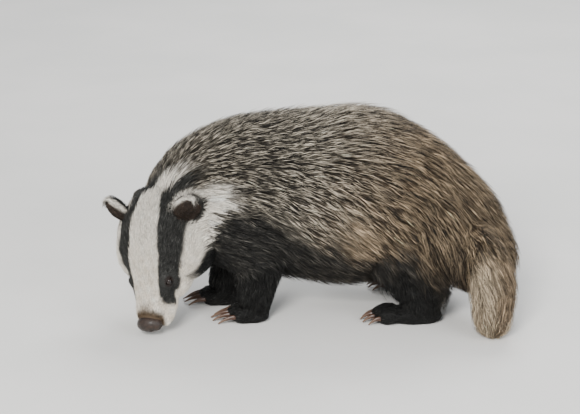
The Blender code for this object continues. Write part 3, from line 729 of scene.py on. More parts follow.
class Body:
    """The badger as a set of spines, with the region, lie and colour of every place on it.

    The droop is how far the trunk's hair leans down, by the distance along the trunk.
    """

    droop = ((0.0, 0.10, 0.30, 0.40), (0.30, 0.45, 0.55, 0.85))

    def __init__(self, build: Build, head: HeadAxes, markings: Markings, eyes: dict[str, Vector]) -> None:
        """Lays a spine through every part.

        Args:
            build: The badger's sections.
            head: The head's axes.
            markings: The markings.
            eyes: The middle of each eye.
        """
        self.build = build
        self.head = head
        self.markings = markings
        self.eyes = eyes
        self.spines: dict[Region, Spine] = {
            Region.TRUNK: Spine(build.trunk, (0, 0, 1)),
            Region.HEAD: Spine(build.skull_stations(head), tuple(head.way(0, 0, 1))),
            Region.TAIL: Spine(build.tail, (1, 0, 0), 41),
        }
        for name, stations in build.legs.items():
            self.spines[Region[name.upper()]] = Spine(stations, (1, 0, 0), 41)
        for name, (_, _, _, length, width, _) in build.paws.items():
            place = build.paw_frame(name)
            rows = [
                (*(place @ Vector((length * share, 0, 0.011))), width * 0.5, 0.014, 0.012, 0.0012)
                for share in (-0.36, 0.1, 0.56)
            ]
            self.spines[Region[name.upper()]] = Spine(rows, (0, 0, 1), 21)

    def ear_lie(self, places: Array, side: int) -> Array:
        """The way hair lies on an ear: up its back, and outwards over its rim.

        Args:
            places: One row a place.
            side: 1 for the left ear and -1 for the right.

        Returns:
            A direction for each place.
        """
        middle, up, mouth = (np.array(axis) for axis in self.build.ear_axes(self.head, side))
        offset = unit(places - middle)
        flat = unit(offset - mouth * (offset @ mouth)[:, None])
        return unit(flat + up * 0.8 + mouth * 0.15)

    def survey(self, places: Array) -> dict[str, Array]:
        """Measures places from every part of the body.

        Args:
            places: One row a place.

        Returns:
            region: the number of each place's region. lie: the direction of its hair.
            along, angle and depth on that region's spine. root, tip and banded: its colours.
        """
        measures = {region: spine.measure(places) for region, spine in self.spines.items()}
        regions = list(measures)
        fullness = np.array([measures[region]["fullness"] for region in regions])
        best = np.argmin(fullness, axis=0)
        weights = np.exp(-(fullness - fullness.min(axis=0)) / 0.10)
        weights /= weights.sum(axis=0)
        lie = np.zeros_like(places)
        for region, weight in zip(regions, weights):
            lie += self.lie_of(region, places, measures[region]) * weight[:, None]
        number = np.array([region.value for region in regions])[best]
        picked = {
            key: np.choose(best, [measures[region][key] for region in regions])
            for key in ("along", "angle", "depth")
        }
        base, tip, banded = self.markings.of_trunk(places, measures[Region.TRUNK])
        head_tone, head_share = self.markings.of_head(places)
        base = blended(base, head_tone, head_share)
        tip = blended(tip, head_tone, head_share)
        banded = banded * (1 - head_share)
        tones = self.markings.tones
        limbs = [weight for region, weight in zip(regions, weights) if region.is_limb()]
        leg_share = ease(0.15, 0.60, np.sum(limbs, axis=0))
        base = blended(base, tones.black, leg_share)
        tip = blended(tip, np.array(tones.black) * 1.6, leg_share)
        on_tail = measures[Region.TAIL]
        tail_share = ease(0.2, 0.6, weights[regions.index(Region.TAIL)])
        tail_share *= ease(0.014, 0.040, on_tail["along"])
        shade = ease(-0.15, 0.6, np.cos(np.radians(on_tail["angle"] + 10)))
        pale = blended(tones.tail, tones.brown, 0.75 * shade)
        base, tip = blended(base, pale, tail_share), blended(tip, pale * 1.15, tail_share)
        banded = banded * (1 - leg_share) * (1 - 0.45 * tail_share)
        for side, region in EARS:
            near = np.linalg.norm(self.build.ear_offset(self.head, side, places), axis=1)
            _, up, _ = self.build.ear_axes(self.head, side)
            inside = near < 1.12
            number = np.where(inside, region.value, number)
            share = ease(1.16, 1.04, near)
            ear_tone = self.markings.of_ears(places, side)
            base, tip = blended(base, ear_tone, share), blended(tip, ear_tone, share)
            banded = banded * (1 - share)
            lie = blended(lie, self.ear_lie(places, side), ease(1.25, 0.98, near))
            within = self.build.cup_share(self.head, side, places)
            lie = blended(lie, np.array(up), ease(1.20, 1.05, within) * inside)
        for eye in self.eyes.values():
            away = places - np.array(eye)
            near = np.linalg.norm(away, axis=1)
            lie += unit(away) * (1.5 * ease(0.016, 0.006, near))[:, None]
            base = blended(base, tones.lid, ease(0.0078, 0.0062, near))
        return {"region": number, "lie": unit(lie), "root": base, "tip": tip, "banded": banded, **picked}

    def lie_of(self, region: Region, places: Array, measures: dict[str, Array]) -> Array:
        """The way hair lies on one region.

        Args:
            region: The region.
            places: One row a place.
            measures: The places measured from its spine.

        Returns:
            A direction for each place.
        """
        way = measures["way"].copy()
        side = np.abs(np.sin(np.radians(measures["angle"])))
        if region is Region.TRUNK:
            droop = np.interp(measures["along"], *self.droop)
            way[:, 2] -= droop * (0.25 + 0.75 * side)
        if region is Region.HEAD:
            back, _, up = self.head.measure(places)
            down = np.array(self.head.way(0, 0, -1))
            way += down * (0.55 * ease(0.05, 0.11, back) * ease(0.010, -0.02, up))[:, None]
        return unit(way)


class Skin:
    """The one skin of the body, head, ears, legs, paws and tail, with lids, lips and toes."""

    voxel = 0.0021
    ear_voxel = 0.0007
    over_floor = 0.0002
    under_solid_paw = 0.0006
    muzzle_length = 0.080
    muzzle_half_width = 0.05
    eye_surrounds = (0.014, 0.0105)
    slit_half_length = 0.0060
    slit_half_height = 0.0034
    eyelid_reach = 0.0125
    eyelid_depth = -0.006
    eyelid_height = 0.0008
    eyelid_rim = 0.0005
    eyelid_least = 0.0016
    socket_depth = 0.0012
    lips_back = 0.085
    lips_depth = 0.0022
    lips_half_width = 0.0016
    lips_swell = 0.0006
    mouth = (
        (0.070, 0.034, -0.019),
        (0.052, 0.027, -0.0145),
        (0.034, 0.0215, -0.0115),
        (0.018, 0.0175, -0.0100),
        (0.009, 0.0090, -0.0105),
        (0.0065, 0.0, -0.0110),
    )

    def __init__(self, build: Build, head: HeadAxes, eyes: dict[str, Vector]) -> None:
        """Keeps what the skin is shaped from.

        Args:
            build: The badger's sections.
            head: The head's axes.
            eyes: The middle of each eye.
        """
        self.build = build
        self.head = head
        self.eyes = eyes

    def make(self) -> bpy.types.Object:
        """Shapes the whole skin.

        Returns:
            The skin, in smooth triangles.
        """
        pieces = [self.make_trunk(), *self.make_head(), *self.make_limbs()]
        skin = joined("skin", pieces)
        melted(skin, self.voxel, 5)
        self.refine_face(skin)
        self.fold_lids(skin)
        self.part_lips(skin)
        skin = joined("skin", [skin, *(self.make_ear(name, side) for name, side in SIDES)])
        places = vertex_places(skin)
        places[:, 2] = np.maximum(places[:, 2], self.over_floor)
        set_places(skin, places)
        applied(skin, "TRIANGULATE", quad_method="SHORTEST_DIAGONAL")
        shade_smooth(skin)
        return skin

    def make_trunk(self) -> bpy.types.Object:
        """Makes the trunk with the muscles of its thighs and shoulders.

        Returns:
            One object of several shells.
        """
        pieces = [tube("trunk", self.build.flesh(self.build.trunk), 60, 40, (0, 0, 1))]
        for centre, radii in self.build.muscles:
            pieces.append(ball("muscle", centre, tuple(radius - self.build.sunk for radius in radii)))
        return joined("trunk", pieces)

    def make_head(self) -> list[bpy.types.Object]:
        """Makes the skull and muzzle with the cheeks, jaws, lips and chin.

        Returns:
            One object for each.
        """
        up = tuple(self.head.way(0, 0, 1))
        pieces = [tube("skull", self.build.flesh(self.build.skull_stations(self.head)), 30, 36, up)]
        for _, side in SIDES:
            for (back, left, high), radii in self.build.face_lumps:
                pieces.append(ball("lump", self.head.place(back, side * left, high), radii, self.head.turn()))
        return pieces

    def make_limbs(self) -> list[bpy.types.Object]:
        """Makes the legs, paws and tail.

        Returns:
            One object for each leg, the tail, and each pad, wrist and toe.
        """
        pieces = [tube("tail", self.build.flesh(self.build.tail), 24, 24, (1, 0, 0))]
        for name, stations in self.build.legs.items():
            pieces.append(tube(name, self.build.flesh(stations), 14, 24, (1, 0, 0)))
        for name in self.build.paws:
            pieces += self.make_paw(name)
        return pieces

    def make_paw(self, paw: str) -> list[bpy.types.Object]:
        """Makes one paw.

        Args:
            paw: The paw's name.

        Returns:
            Its pad, its wrist or heel, and its five toes.
        """
        length, width = self.build.paws[paw][3:5]
        place = self.build.paw_frame(paw)
        turn = place.to_3x3()
        thin = self.under_solid_paw
        pad_radii = (length * 0.47 - thin, width * 0.44 - thin, 0.0125 - thin)
        wrist_radii = (length * 0.30 - thin, width * 0.40 - thin, 0.0165 - thin)
        pieces = [
            ball("pad", place @ Vector((-length * 0.08, 0, 0.0085)), pad_radii, turn),
            ball("wrist", place @ Vector((-length * 0.20, 0, 0.0200)), wrist_radii, turn),
        ]
        for toe in self.build.toes:
            root, way = self.build.toe_root(paw, toe)
            toe_radii = (0.0140, width * 0.112, 0.0088)
            pieces.append(ball("toe", place @ (root - way * 0.012), toe_radii, turn, 20))
        return pieces

    def make_ear(self, name: str, side: int) -> bpy.types.Object:
        """A round thick ear with a deep cup.

        Args:
            name: left or right.
            side: 1 for left and -1 for right.

        Returns:
            The ear, its base sunk in the head.
        """
        radius = self.build.ear_radius
        centre, up, mouth = self.build.ear_axes(self.head, side)
        turn = Matrix((up.cross(mouth), mouth, up)).transposed()
        ear = ball("ear_" + name, centre, (radius * 0.91, radius * 0.50, radius * 0.95), turn, 40)
        hollow = centre + turn @ Vector(self.build.cup_start) * radius
        cup = ball("cup", hollow, tuple(radius * share for share in self.build.cup_radii), turn, 36)
        applied(ear, "BOOLEAN", operation="DIFFERENCE", solver="EXACT", object=cup)
        bpy.data.objects.remove(cup)
        melted(ear, self.ear_voxel, 4)
        places = vertex_places(ear)
        offset = self.build.ear_offset(self.head, side, places)
        across = offset @ np.array(up.cross(mouth))
        ripple = 0.0007 * np.sin(across * 14) * ease(0.75, 0.35, np.linalg.norm(offset, axis=1))
        set_places(ear, places + np.array(mouth) * ripple[:, None])
        return ear

    def refine_face(self, skin: bpy.types.Object) -> None:
        """Subdivides the muzzle once and the places round the eyes twice more.

        Args:
            skin: The skin.
        """
        back, left, up = self.head.measure(vertex_places(skin))
        off_middle = np.maximum(np.abs(left), np.abs(up))
        self.subdivide(skin, (back < self.muzzle_length) & (off_middle < self.muzzle_half_width))
        for surround in self.eye_surrounds:
            places = vertex_places(skin)
            reach = [np.linalg.norm(places - np.array(eye), axis=1) for eye in self.eyes.values()]
            self.subdivide(skin, np.min(reach, axis=0) < surround)

    def subdivide(self, skin: bpy.types.Object, chosen: Array) -> None:
        """Subdivides the faces whose vertices are all chosen.

        Args:
            skin: The skin.
            chosen: True for each vertex in the place to refine.
        """
        made = bmesh.new()
        made.from_mesh(skin.data)
        edges = [edge for edge in made.edges if chosen[edge.verts[0].index] and chosen[edge.verts[1].index]]
        bmesh.ops.subdivide_edges(made, edges=edges, cuts=1, use_grid_fill=True, smooth=0.6)
        made.to_mesh(skin.data)
        made.free()

    def fold_lids(self, skin: bpy.types.Object) -> None:
        """Shapes a socket, a slit and two lids round each eyeball.

        Args:
            skin: The skin.
        """
        places = vertex_places(skin)
        for name, side in SIDES:
            eye = np.array(self.eyes[name])
            out = unit(np.array(self.head.way(0.15, side, 0.22)))
            slit = np.array(self.head.way(1, 0, 0.85))
            slit = unit(slit - out * (slit @ out))
            across = np.cross(out, slit)
            if across @ np.array(self.head.way(0, 0, 1)) < 0:
                across = -across
            offset = places - eye
            x, y, z = offset @ slit, offset @ across, offset @ out
            reach = np.hypot(x, y)
            near = (reach < self.eyelid_reach) & (z > self.eyelid_depth)
            ball_top = np.sqrt(np.maximum(EYE_RADIUS**2 - reach**2, 0))
            lengthwise = x / self.slit_half_length
            opening = np.hypot(lengthwise, (y - 0.0001) / (self.slit_half_height - 0.0004 * lengthwise))
            rim = self.eyelid_rim * np.exp(-(((opening - 1.25) / 0.22) ** 2))
            fold = self.eyelid_rim * np.exp(-(((opening - 1.95) / 0.20) ** 2))
            lid = ball_top + self.eyelid_height + rim + 0.0004 * ease(1.7, 2.2, opening) - fold
            lid = np.maximum(lid, self.eyelid_least)
            socket = np.where(opening < 1, ball_top - self.socket_depth, lid)
            share = ease(0.0110, 0.0052, reach)
            wanted = socket * share + z * (1 - share)
            clear_of_ball = np.where(reach < EYE_RADIUS, ball_top + 0.0005, -1)
            wanted = np.where(opening < 1, socket, np.maximum(wanted, clear_of_ball))
            places[near] += (out[None] * (wanted - z)[:, None])[near]
        set_places(skin, places)

    def part_lips(self, skin: bpy.types.Object) -> None:
        """Presses the line of the mouth into the muzzle, with a soft lip over it.

        Args:
            skin: The skin.
        """
        other = [(back, -left, up) for back, left, up in self.mouth[-2::-1]]
        line = smooth_rows([tuple(self.head.place(*place)) for place in (*self.mouth, *other)], 121)
        places = vertex_places(skin)
        normals = vertex_values(skin, "normal")
        back, _, _ = self.head.measure(places)
        near = np.flatnonzero(back < self.lips_back)
        reach = np.min(np.linalg.norm(places[near, None] - line[None], axis=2), axis=1)
        sunk = self.lips_depth * np.exp(-((reach / self.lips_half_width) ** 2))
        sunk -= self.lips_swell * np.exp(-(((reach - 0.004) / 0.002) ** 2))
        places[near] -= normals[near] * sunk[:, None]
        set_places(skin, places)


@dataclass(frozen=True)
class Hair:
    """How long, wide, raised and dense the hair of a region is, in metres and tufts a square metre."""

    length: float
    width: float
    rise: float
    density: float
    steps: int


# A tuft's width along it, and how far up its rise it is at each step's end, by its number of steps.
TAPERS = {2: (0.85, 0.80), 3: (0.70, 1.0, 0.72)}
RISES = {2: (-0.18, 0.60, 1.0), 3: (-0.12, 0.42, 0.80, 1.0)}

HAIR: dict[str, Hair] = {
    "TRUNK": Hair(0.036, 0.00080, 1.00, 265000, 3),
    "HEAD": Hair(0.0075, 0.00060, 0.85, 640000, 2),
    "LEG": Hair(0.014, 0.00080, 1.00, 300000, 2),
    "PAW": Hair(0.0060, 0.00060, 1.00, 420000, 2),
    "TAIL": Hair(0.036, 0.00090, 1.60, 420000, 3),
    "EAR": Hair(0.0060, 0.00045, 1.00, 900000, 2),
}


def hair_values(what: str, regions: Array) -> Array:
    """Looks up one of the hair's sizes.

    Args:
        what: The name of the size.
        regions: The number of the region of each place.

    Returns:
        The size at each place.
    """
    kinds = [next(hair for kind, hair in HAIR.items() if kind in region.name) for region in Region]
    return np.array([getattr(hair, what) for hair in kinds])[regions]


@dataclass
class Strands:
    """Tufts as arrays of one row a tuft."""

    places: Array
    normals: Array
    widths: Array
    survey: dict[str, Array]
    chance: Array
    steps: int

    def picked(self, chosen: Array) -> "Strands":
        """Returns only the chosen tufts."""
        survey = {key: values[chosen] for key, values in self.survey.items()}
        arrays = (values[chosen] for values in (self.places, self.normals, self.widths))
        return Strands(*arrays, survey, self.chance[chosen], self.steps)

    def mesh(self, name: str) -> bpy.types.Object:
        """Builds the tufts as one object of small closed tapered prisms.

        Args:
            name: The object's name.

        Returns:
            The object, with its colours, its strand measures and its OFBake map.
        """
        steps, count = self.steps, len(self.places)
        ways = unit(np.diff(self.places, axis=1))
        sides = unit(np.cross(self.normals[:, :steps], ways))
        tops = np.cross(ways, sides)
        half = self.widths[:, None] * np.array(TAPERS[steps]) / 2
        rings = self.places[:, :steps]
        corners = np.stack(
            [
                rings - sides * half[..., None],
                rings + sides * half[..., None],
                rings + tops * half[..., None] * 0.8,
            ],
            axis=2,
        ).reshape(count, steps * 3, 3)
        verts = np.concatenate([corners, self.places[:, steps:]], axis=1)
        per = steps * 3 + 1
        quads = [
            (3 * r + k, 3 * r + (k + 1) % 3, 3 * r + 3 + (k + 1) % 3, 3 * r + 3 + k)
            for r in range(steps - 1)
            for k in range(3)
        ]
        last = 3 * (steps - 1)
        tris = [(last + k, last + (k + 1) % 3, per - 1) for k in range(3)] + [(0, 2, 1)]
        pattern = np.array([corner for face in (*quads, *tris) for corner in face])
        sizes = np.array([4] * len(quads) + [3] * len(tris))
        loops = (np.arange(count)[:, None] * per + pattern[None]).ravel()
        mesh = bpy.data.meshes.new(name)
        mesh.vertices.add(count * per)
        mesh.vertices.foreach_set("co", verts.ravel())
        mesh.loops.add(len(loops))
        mesh.loops.foreach_set("vertex_index", loops)
        mesh.polygons.add(count * len(sizes))
        starts = np.concatenate([[0], np.cumsum(np.tile(sizes, count))[:-1]])
        mesh.polygons.foreach_set("loop_start", starts)
        mesh.polygons.foreach_set("use_smooth", np.ones(count * len(sizes), bool))
        mesh.update(calc_edges=True)
        along = np.concatenate([np.repeat(np.linspace(0, 1, steps + 1)[:steps], 3), [1.0]])
        self.add_attributes(mesh, along, per, pattern)
        made = bpy.data.objects.new(name, mesh)
        bpy.context.scene.collection.objects.link(made)
        return made

    def add_attributes(self, mesh: bpy.types.Mesh, along: Array, per: int, pattern: Array) -> None:
        """Adds the colours, the strand measures and the OFBake map.

        Args:
            mesh: The tufts' mesh.
            along: How far along its tuft each of a tuft's vertices is.
            per: How many vertices a tuft has.
            pattern: A tuft's vertices in the order of its faces' corners.
        """
        for key in ("root", "tip"):
            add_colours(mesh, key + "_tone", np.repeat(self.survey[key], per, axis=0))
        alike = np.repeat(np.stack([self.chance, self.survey["banded"]], axis=1), per, axis=0)
        add_vectors(mesh, "strand", np.column_stack([np.tile(along, len(self.places)), alike]))
        root = np.stack([self.survey["along"], self.survey["angle"] / 360 + 0.5], axis=1)
        root = 0.01 + 0.98 * (root - root.min(axis=0)) / np.maximum(np.ptp(root, axis=0), 1e-6)
        corner = np.concatenate([np.tile([-1.0, 1.0, 0.0], self.steps), [0.0]])
        patch = np.stack([(along - 0.5) * 0.003, corner * 0.0015], axis=1)
        layer = mesh.uv_layers.new(name="OFBake")
        layer.data.foreach_set("uv", (root[:, None] + patch[pattern][None]).ravel())


class Coat:
    """Grows the tufts of every region out of the skin.

    Each pair of rows below gives a measure against another. Lengths and widths of hair are in metres, and go
    by the distance along the trunk, behind the nose or from an eye.
    """

    trunk_lengths = ((0, 0.05, 0.12, 0.25, 0.42), (0.017, 0.023, 0.032, 0.041, 0.047))
    face_lengths = ((0.010, 0.035, 0.080, 0.130, 0.170), (0.0028, 0.0046, 0.0072, 0.0100, 0.0140))
    face_widths = ((0.01, 0.06, 0.15), (0.00038, 0.00050, 0.00072))
    face_densities = ((0.02, 0.08, 0.14), (1.5, 1.1, 0.75))
    by_eye = ((0.006, 0.014, 0.020), (0.30, 0.70, 1))
    bare_eye = 0.0061
    bare_soles = 0.0012
    over_floor = 0.0006

    def __init__(self, skin: bpy.types.Object, body: Body, share: float) -> None:
        """Reads the skin's surface.

        Args:
            skin: The finished skin.
            body: The body's measures.
            share: The share of the tufts that is grown.
        """
        self.body = body
        self.share = share
        self.dice = np.random.default_rng(19)
        mesh = skin.data
        mesh.calc_loop_triangles()
        corners = np.empty(len(mesh.loop_triangles) * 3, int)
        mesh.loop_triangles.foreach_get("vertices", corners)
        self.corners = corners.reshape(-1, 3)
        self.places = vertex_places(skin)
        self.normals = vertex_values(skin, "normal")
        self.tree = BVHTree.FromPolygons(self.places.tolist(), self.corners.tolist())
        a, b, c = (self.places[self.corners[:, k]] for k in range(3))
        self.areas = np.linalg.norm(np.cross(b - a, c - a), axis=1) / 2
        self.middles = (a + b + c) / 3

    def density(self, survey: dict[str, Array]) -> Array:
        """How many tufts a square metre each face carries.

        Args:
            survey: The measures of the faces' middles.

        Returns:
            One number a face.
        """
        density = hair_values("density", survey["region"])
        back, _, _ = self.body.head.measure(self.middles)
        is_head = survey["region"] == Region.HEAD.value
        density = np.where(is_head, density * np.interp(back, *self.face_densities), density)
        pad = self.body.head.pad_share(self.middles)
        density = np.where(is_head & ((pad < 1.03) | (back < 0.003)), 0, density)
        for eye in self.body.eyes.values():
            density *= np.linalg.norm(self.middles - np.array(eye), axis=1) > self.bare_eye
        return np.where(self.middles[:, 2] < self.bare_soles, 0, density) * self.share

    def grow(self) -> dict[int, Strands]:
        """Plants and lays every tuft.

        Returns:
            The tufts of two steps and of three steps.
        """
        density = self.density(self.body.survey(self.middles))
        total = np.cumsum(density * self.areas)
        count = int(total[-1])
        face = np.searchsorted(total, np.arange(count) + self.dice.random(count))
        face = np.minimum(face, len(total) - 1)
        weights = self.dice.dirichlet((1, 1, 1), count)
        corners = self.corners[face]
        roots = (self.places[corners] * weights[..., None]).sum(axis=1)
        normals = unit((self.normals[corners] * weights[..., None]).sum(axis=1))
        survey = self.body.survey(roots)
        length, width, rise = self.sizes(roots, survey)
        lie = self.strewn(roots, normals, survey["lie"])
        steps = hair_values("steps", survey["region"])
        chance = self.dice.random(count)
        survey["tip"] = self.tip_tones(survey, chance)
        grown = {}
        for kind in RISES:
            chosen = np.flatnonzero(steps == kind)
            planted = (values[chosen] for values in (roots, normals, lie, length, rise))
            places, bent = self.laid(*planted, kind)
            part = {key: values[chosen] for key, values in survey.items()}
            places, guides = self.clumped(places, length[chosen], part)
            shade = np.exp(0.30 * self.dice.normal(0, 1, len(chosen)))[guides][:, None]
            for key in ("root", "tip"):
                spread = np.interp(part[key].mean(axis=1), [0.0, 0.3, 0.7], [1.0, 0.8, 0.25])[:, None]
                part[key] = np.clip(part[key] * shade**spread, 0, BRIGHTEST)
            grown[kind] = Strands(places, bent, width[chosen], part, chance[chosen], kind)
        log.info("grew %d tufts", count)
        return grown

    def clumped(self, places: Array, length: Array, survey: dict[str, Array]) -> tuple[Array, Array]:
        """Draws the tips of neighbouring tufts together into locks.

        Args:
            places: The places along each tuft.
            length: The tufts' lengths.
            survey: The roots' measures.

        Returns:
            The places along each tuft after that, and the number of the tuft that leads each one's lock.
        """
        count = len(places)
        guides = self.dice.choice(count, count // 8, replace=False)
        tree = KDTree(len(guides))
        for k, spot in enumerate(places[guides, 0].tolist()):
            tree.insert(spot, k)
        tree.balance()
        nearest = guides[[tree.find(spot)[1] for spot in places[:, 0].tolist()]]
        apart = np.linalg.norm(places[nearest, 0] - places[:, 0], axis=1)
        pull = self.dice.uniform(0.2, 0.75, count) * ease(0.55, 0.25, apart / length)
        pull = np.where(survey["region"] == Region.HEAD.value, 0.5 * pull, pull)
        shares = np.linspace(0, 1, places.shape[1]) ** 1.3
        return places + (places[nearest] - places) * (pull[:, None] * shares[None])[..., None], nearest

    def tip_tones(self, survey: dict[str, Array], chance: Array) -> Array:
        """Gives each tuft a tip of its own, most of the banded ones pale and the rest dark.

        Args:
            survey: The roots' measures.
            chance: A random share for each tuft.

        Returns:
            The tips' colours.
        """
        count = len(chance)
        flow = np.abs(survey["angle"]) - 210 * survey["along"]
        streak = np.sin(flow * 1.7 + 2.5 * np.sin(survey["along"] * 31))
        streak += np.sin(flow * 3.1 + 3.0 * np.sin(survey["along"] * 23 + 1))
        often = np.interp(survey["along"], [0.15, 0.30], [0.44, 0.34])
        is_dark = (self.dice.random(count) < often + 0.10 * streak) * survey["banded"]
        band = np.array(self.body.markings.tones.band) * self.dice.uniform(0.6, 2.2, count)[:, None]
        survey["root"] = blended(survey["root"], band, 0.8 * is_dark)
        survey["banded"] = survey["banded"] * 0.45
        luminance = survey["tip"].mean(axis=1)
        spread = np.interp(luminance, [0.0, 0.05, 0.3, 0.7], [0.70, 0.55, 0.30, 0.08])
        tip = survey["tip"] * np.exp(spread * self.dice.normal(0, 1, count))[:, None]
        survey["root"] = survey["root"] * np.exp(0.5 * spread * self.dice.normal(0, 1, count))[:, None]
        return np.clip(blended(tip, band, is_dark), 0, BRIGHTEST)

    def sizes(self, roots: Array, survey: dict[str, Array]) -> tuple[Array, Array, Array]:
        """The length, width and rise of each tuft.

        Args:
            roots: The tufts' roots.
            survey: The roots' measures.

        Returns:
            Three arrays of one number a tuft.
        """
        head, build, region = self.body.head, self.body.build, survey["region"]
        length, width, rise = (hair_values(what, region) for what in ("length", "width", "rise"))
        rise = rise * survey["depth"]
        on_trunk = np.interp(survey["along"], *self.trunk_lengths)
        length = np.where(region == Region.TRUNK.value, on_trunk, length)
        back, _, up = head.measure(roots)
        is_head = region == Region.HEAD.value
        cheek = ease(0.075, 0.120, back) * ease(0.012, -0.012, up)
        length = np.where(is_head, np.interp(back, *self.face_lengths) + 0.0080 * cheek, length)
        width = np.where(is_head, np.interp(back, *self.face_widths), width)
        for side, ear in EARS:
            is_ear = region == ear.value
            _, ear_up, _ = build.ear_axes(head, side)
            lining = build.cup_share(head, side, roots) < 1.15
            high = ease(0.0, 0.7, build.ear_offset(head, side, roots) @ np.array(ear_up))
            length = np.where(is_ear, np.where(lining, 0.0050, 0.0080 + 0.0060 * high), length)
            rise = np.where(is_ear, np.where(lining, 0.0012, 0.0020 + 0.0030 * high), rise)
        for eye in self.body.eyes.values():
            shorter = np.interp(np.linalg.norm(roots - np.array(eye), axis=1), *self.by_eye)
            length, width = length * shorter, width * np.sqrt(shorter)
        varied = self.dice.uniform(0.72, 1.18, len(roots))
        lifted = self.dice.beta(2.2, 2.2, len(roots)) * 1.5 + 0.25
        return length * varied, width * self.dice.uniform(0.75, 1.25, len(roots)), rise * lifted

    def strewn(self, roots: Array, normals: Array, lie: Array) -> Array:
        """Turns the lie a little, alike for neighbours and unlike for single tufts.

        Args:
            roots: The tufts' roots.
            normals: The skin's normals there.
            lie: The direction of the hair there.

        Returns:
            The tufts' directions along the skin.
        """
        flat = unit(lie - normals * (lie * normals).sum(axis=1)[:, None])
        across = np.cross(normals, flat)
        x, y, z = roots.T
        drift = 0.10 * np.sin(x * 210 + z * 130) + 0.08 * np.sin(z * 310 - y * 170 + 2.0)
        drift += self.dice.normal(0, 0.085, len(roots))
        return unit(flat + across * drift[:, None])

    def laid(
        self, roots: Array, normals: Array, lie: Array, length: Array, rise: Array, steps: int
    ) -> tuple[Array, Array]:
        """Lays tufts along the skin, each rising from just under it to its tip.

        Args:
            roots: The tufts' roots.
            normals: The skin's normals there.
            lie: The tufts' directions.
            length: The tufts' lengths.
            rise: How far each tip stands over the skin.
            steps: How many steps each tuft takes.

        Returns:
            The places along each tuft, and the skin's normals at them.
        """
        places, bent = [], []
        here, normal, way = roots, normals, lie
        for share in RISES[steps]:
            places.append(here + normal * (rise * share)[:, None])
            bent.append(normal)
            ahead = here + way * (length / steps)[:, None]
            here, normal = self.on_skin(ahead)
            way = unit(way - normal * (way * normal).sum(axis=1)[:, None])
        made = np.stack(places, axis=1)
        made[..., 2] = np.maximum(made[..., 2], self.over_floor)
        return made, np.stack(bent, axis=1)

    def on_skin(self, places: Array) -> tuple[Array, Array]:
        """Returns the nearest places on the skin and the normals of its faces there."""
        found = [self.tree.find_nearest(place)[:2] for place in places.tolist()]
        return np.array([spot for spot, _ in found]), np.array([normal for _, normal in found])

    def make(self) -> list[bpy.types.Object]:
        """Grows the coat and splits it by region, side and place along the trunk.

        Returns:
            The coat's pieces.
        """
        grown = self.grow()
        long, short = grown[3], grown[2]
        pieces = []
        is_trunk = long.survey["region"] == Region.TRUNK.value
        cuts = np.quantile(long.survey["along"][is_trunk], [0, 0.25, 0.5, 0.75, 1])
        for k, (low, high) in enumerate(zip(cuts, cuts[1:])):
            within = is_trunk & (long.survey["along"] >= low) & (long.survey["along"] < high + (k == 3))
            for name, chosen in (("left", long.survey["angle"] < 0), ("right", long.survey["angle"] >= 0)):
                pieces.append(long.picked(within & chosen).mesh(f"coat_trunk_{k + 1}_{name}"))
        pieces.append(long.picked(~is_trunk).mesh("coat_tail"))
        region = short.survey["region"]
        is_head = region == Region.HEAD.value
        is_ear = region >= Region.EAR_LEFT.value
        on_left = short.survey["angle"] > 0
        pieces.append(short.picked(is_head & on_left).mesh("coat_head_left"))
        pieces.append(short.picked(is_head & ~on_left).mesh("coat_head_right"))
        pieces.append(short.picked(is_ear).mesh("coat_ears"))
        pieces.append(short.picked(~is_head & ~is_ear).mesh("coat_legs"))
        return pieces


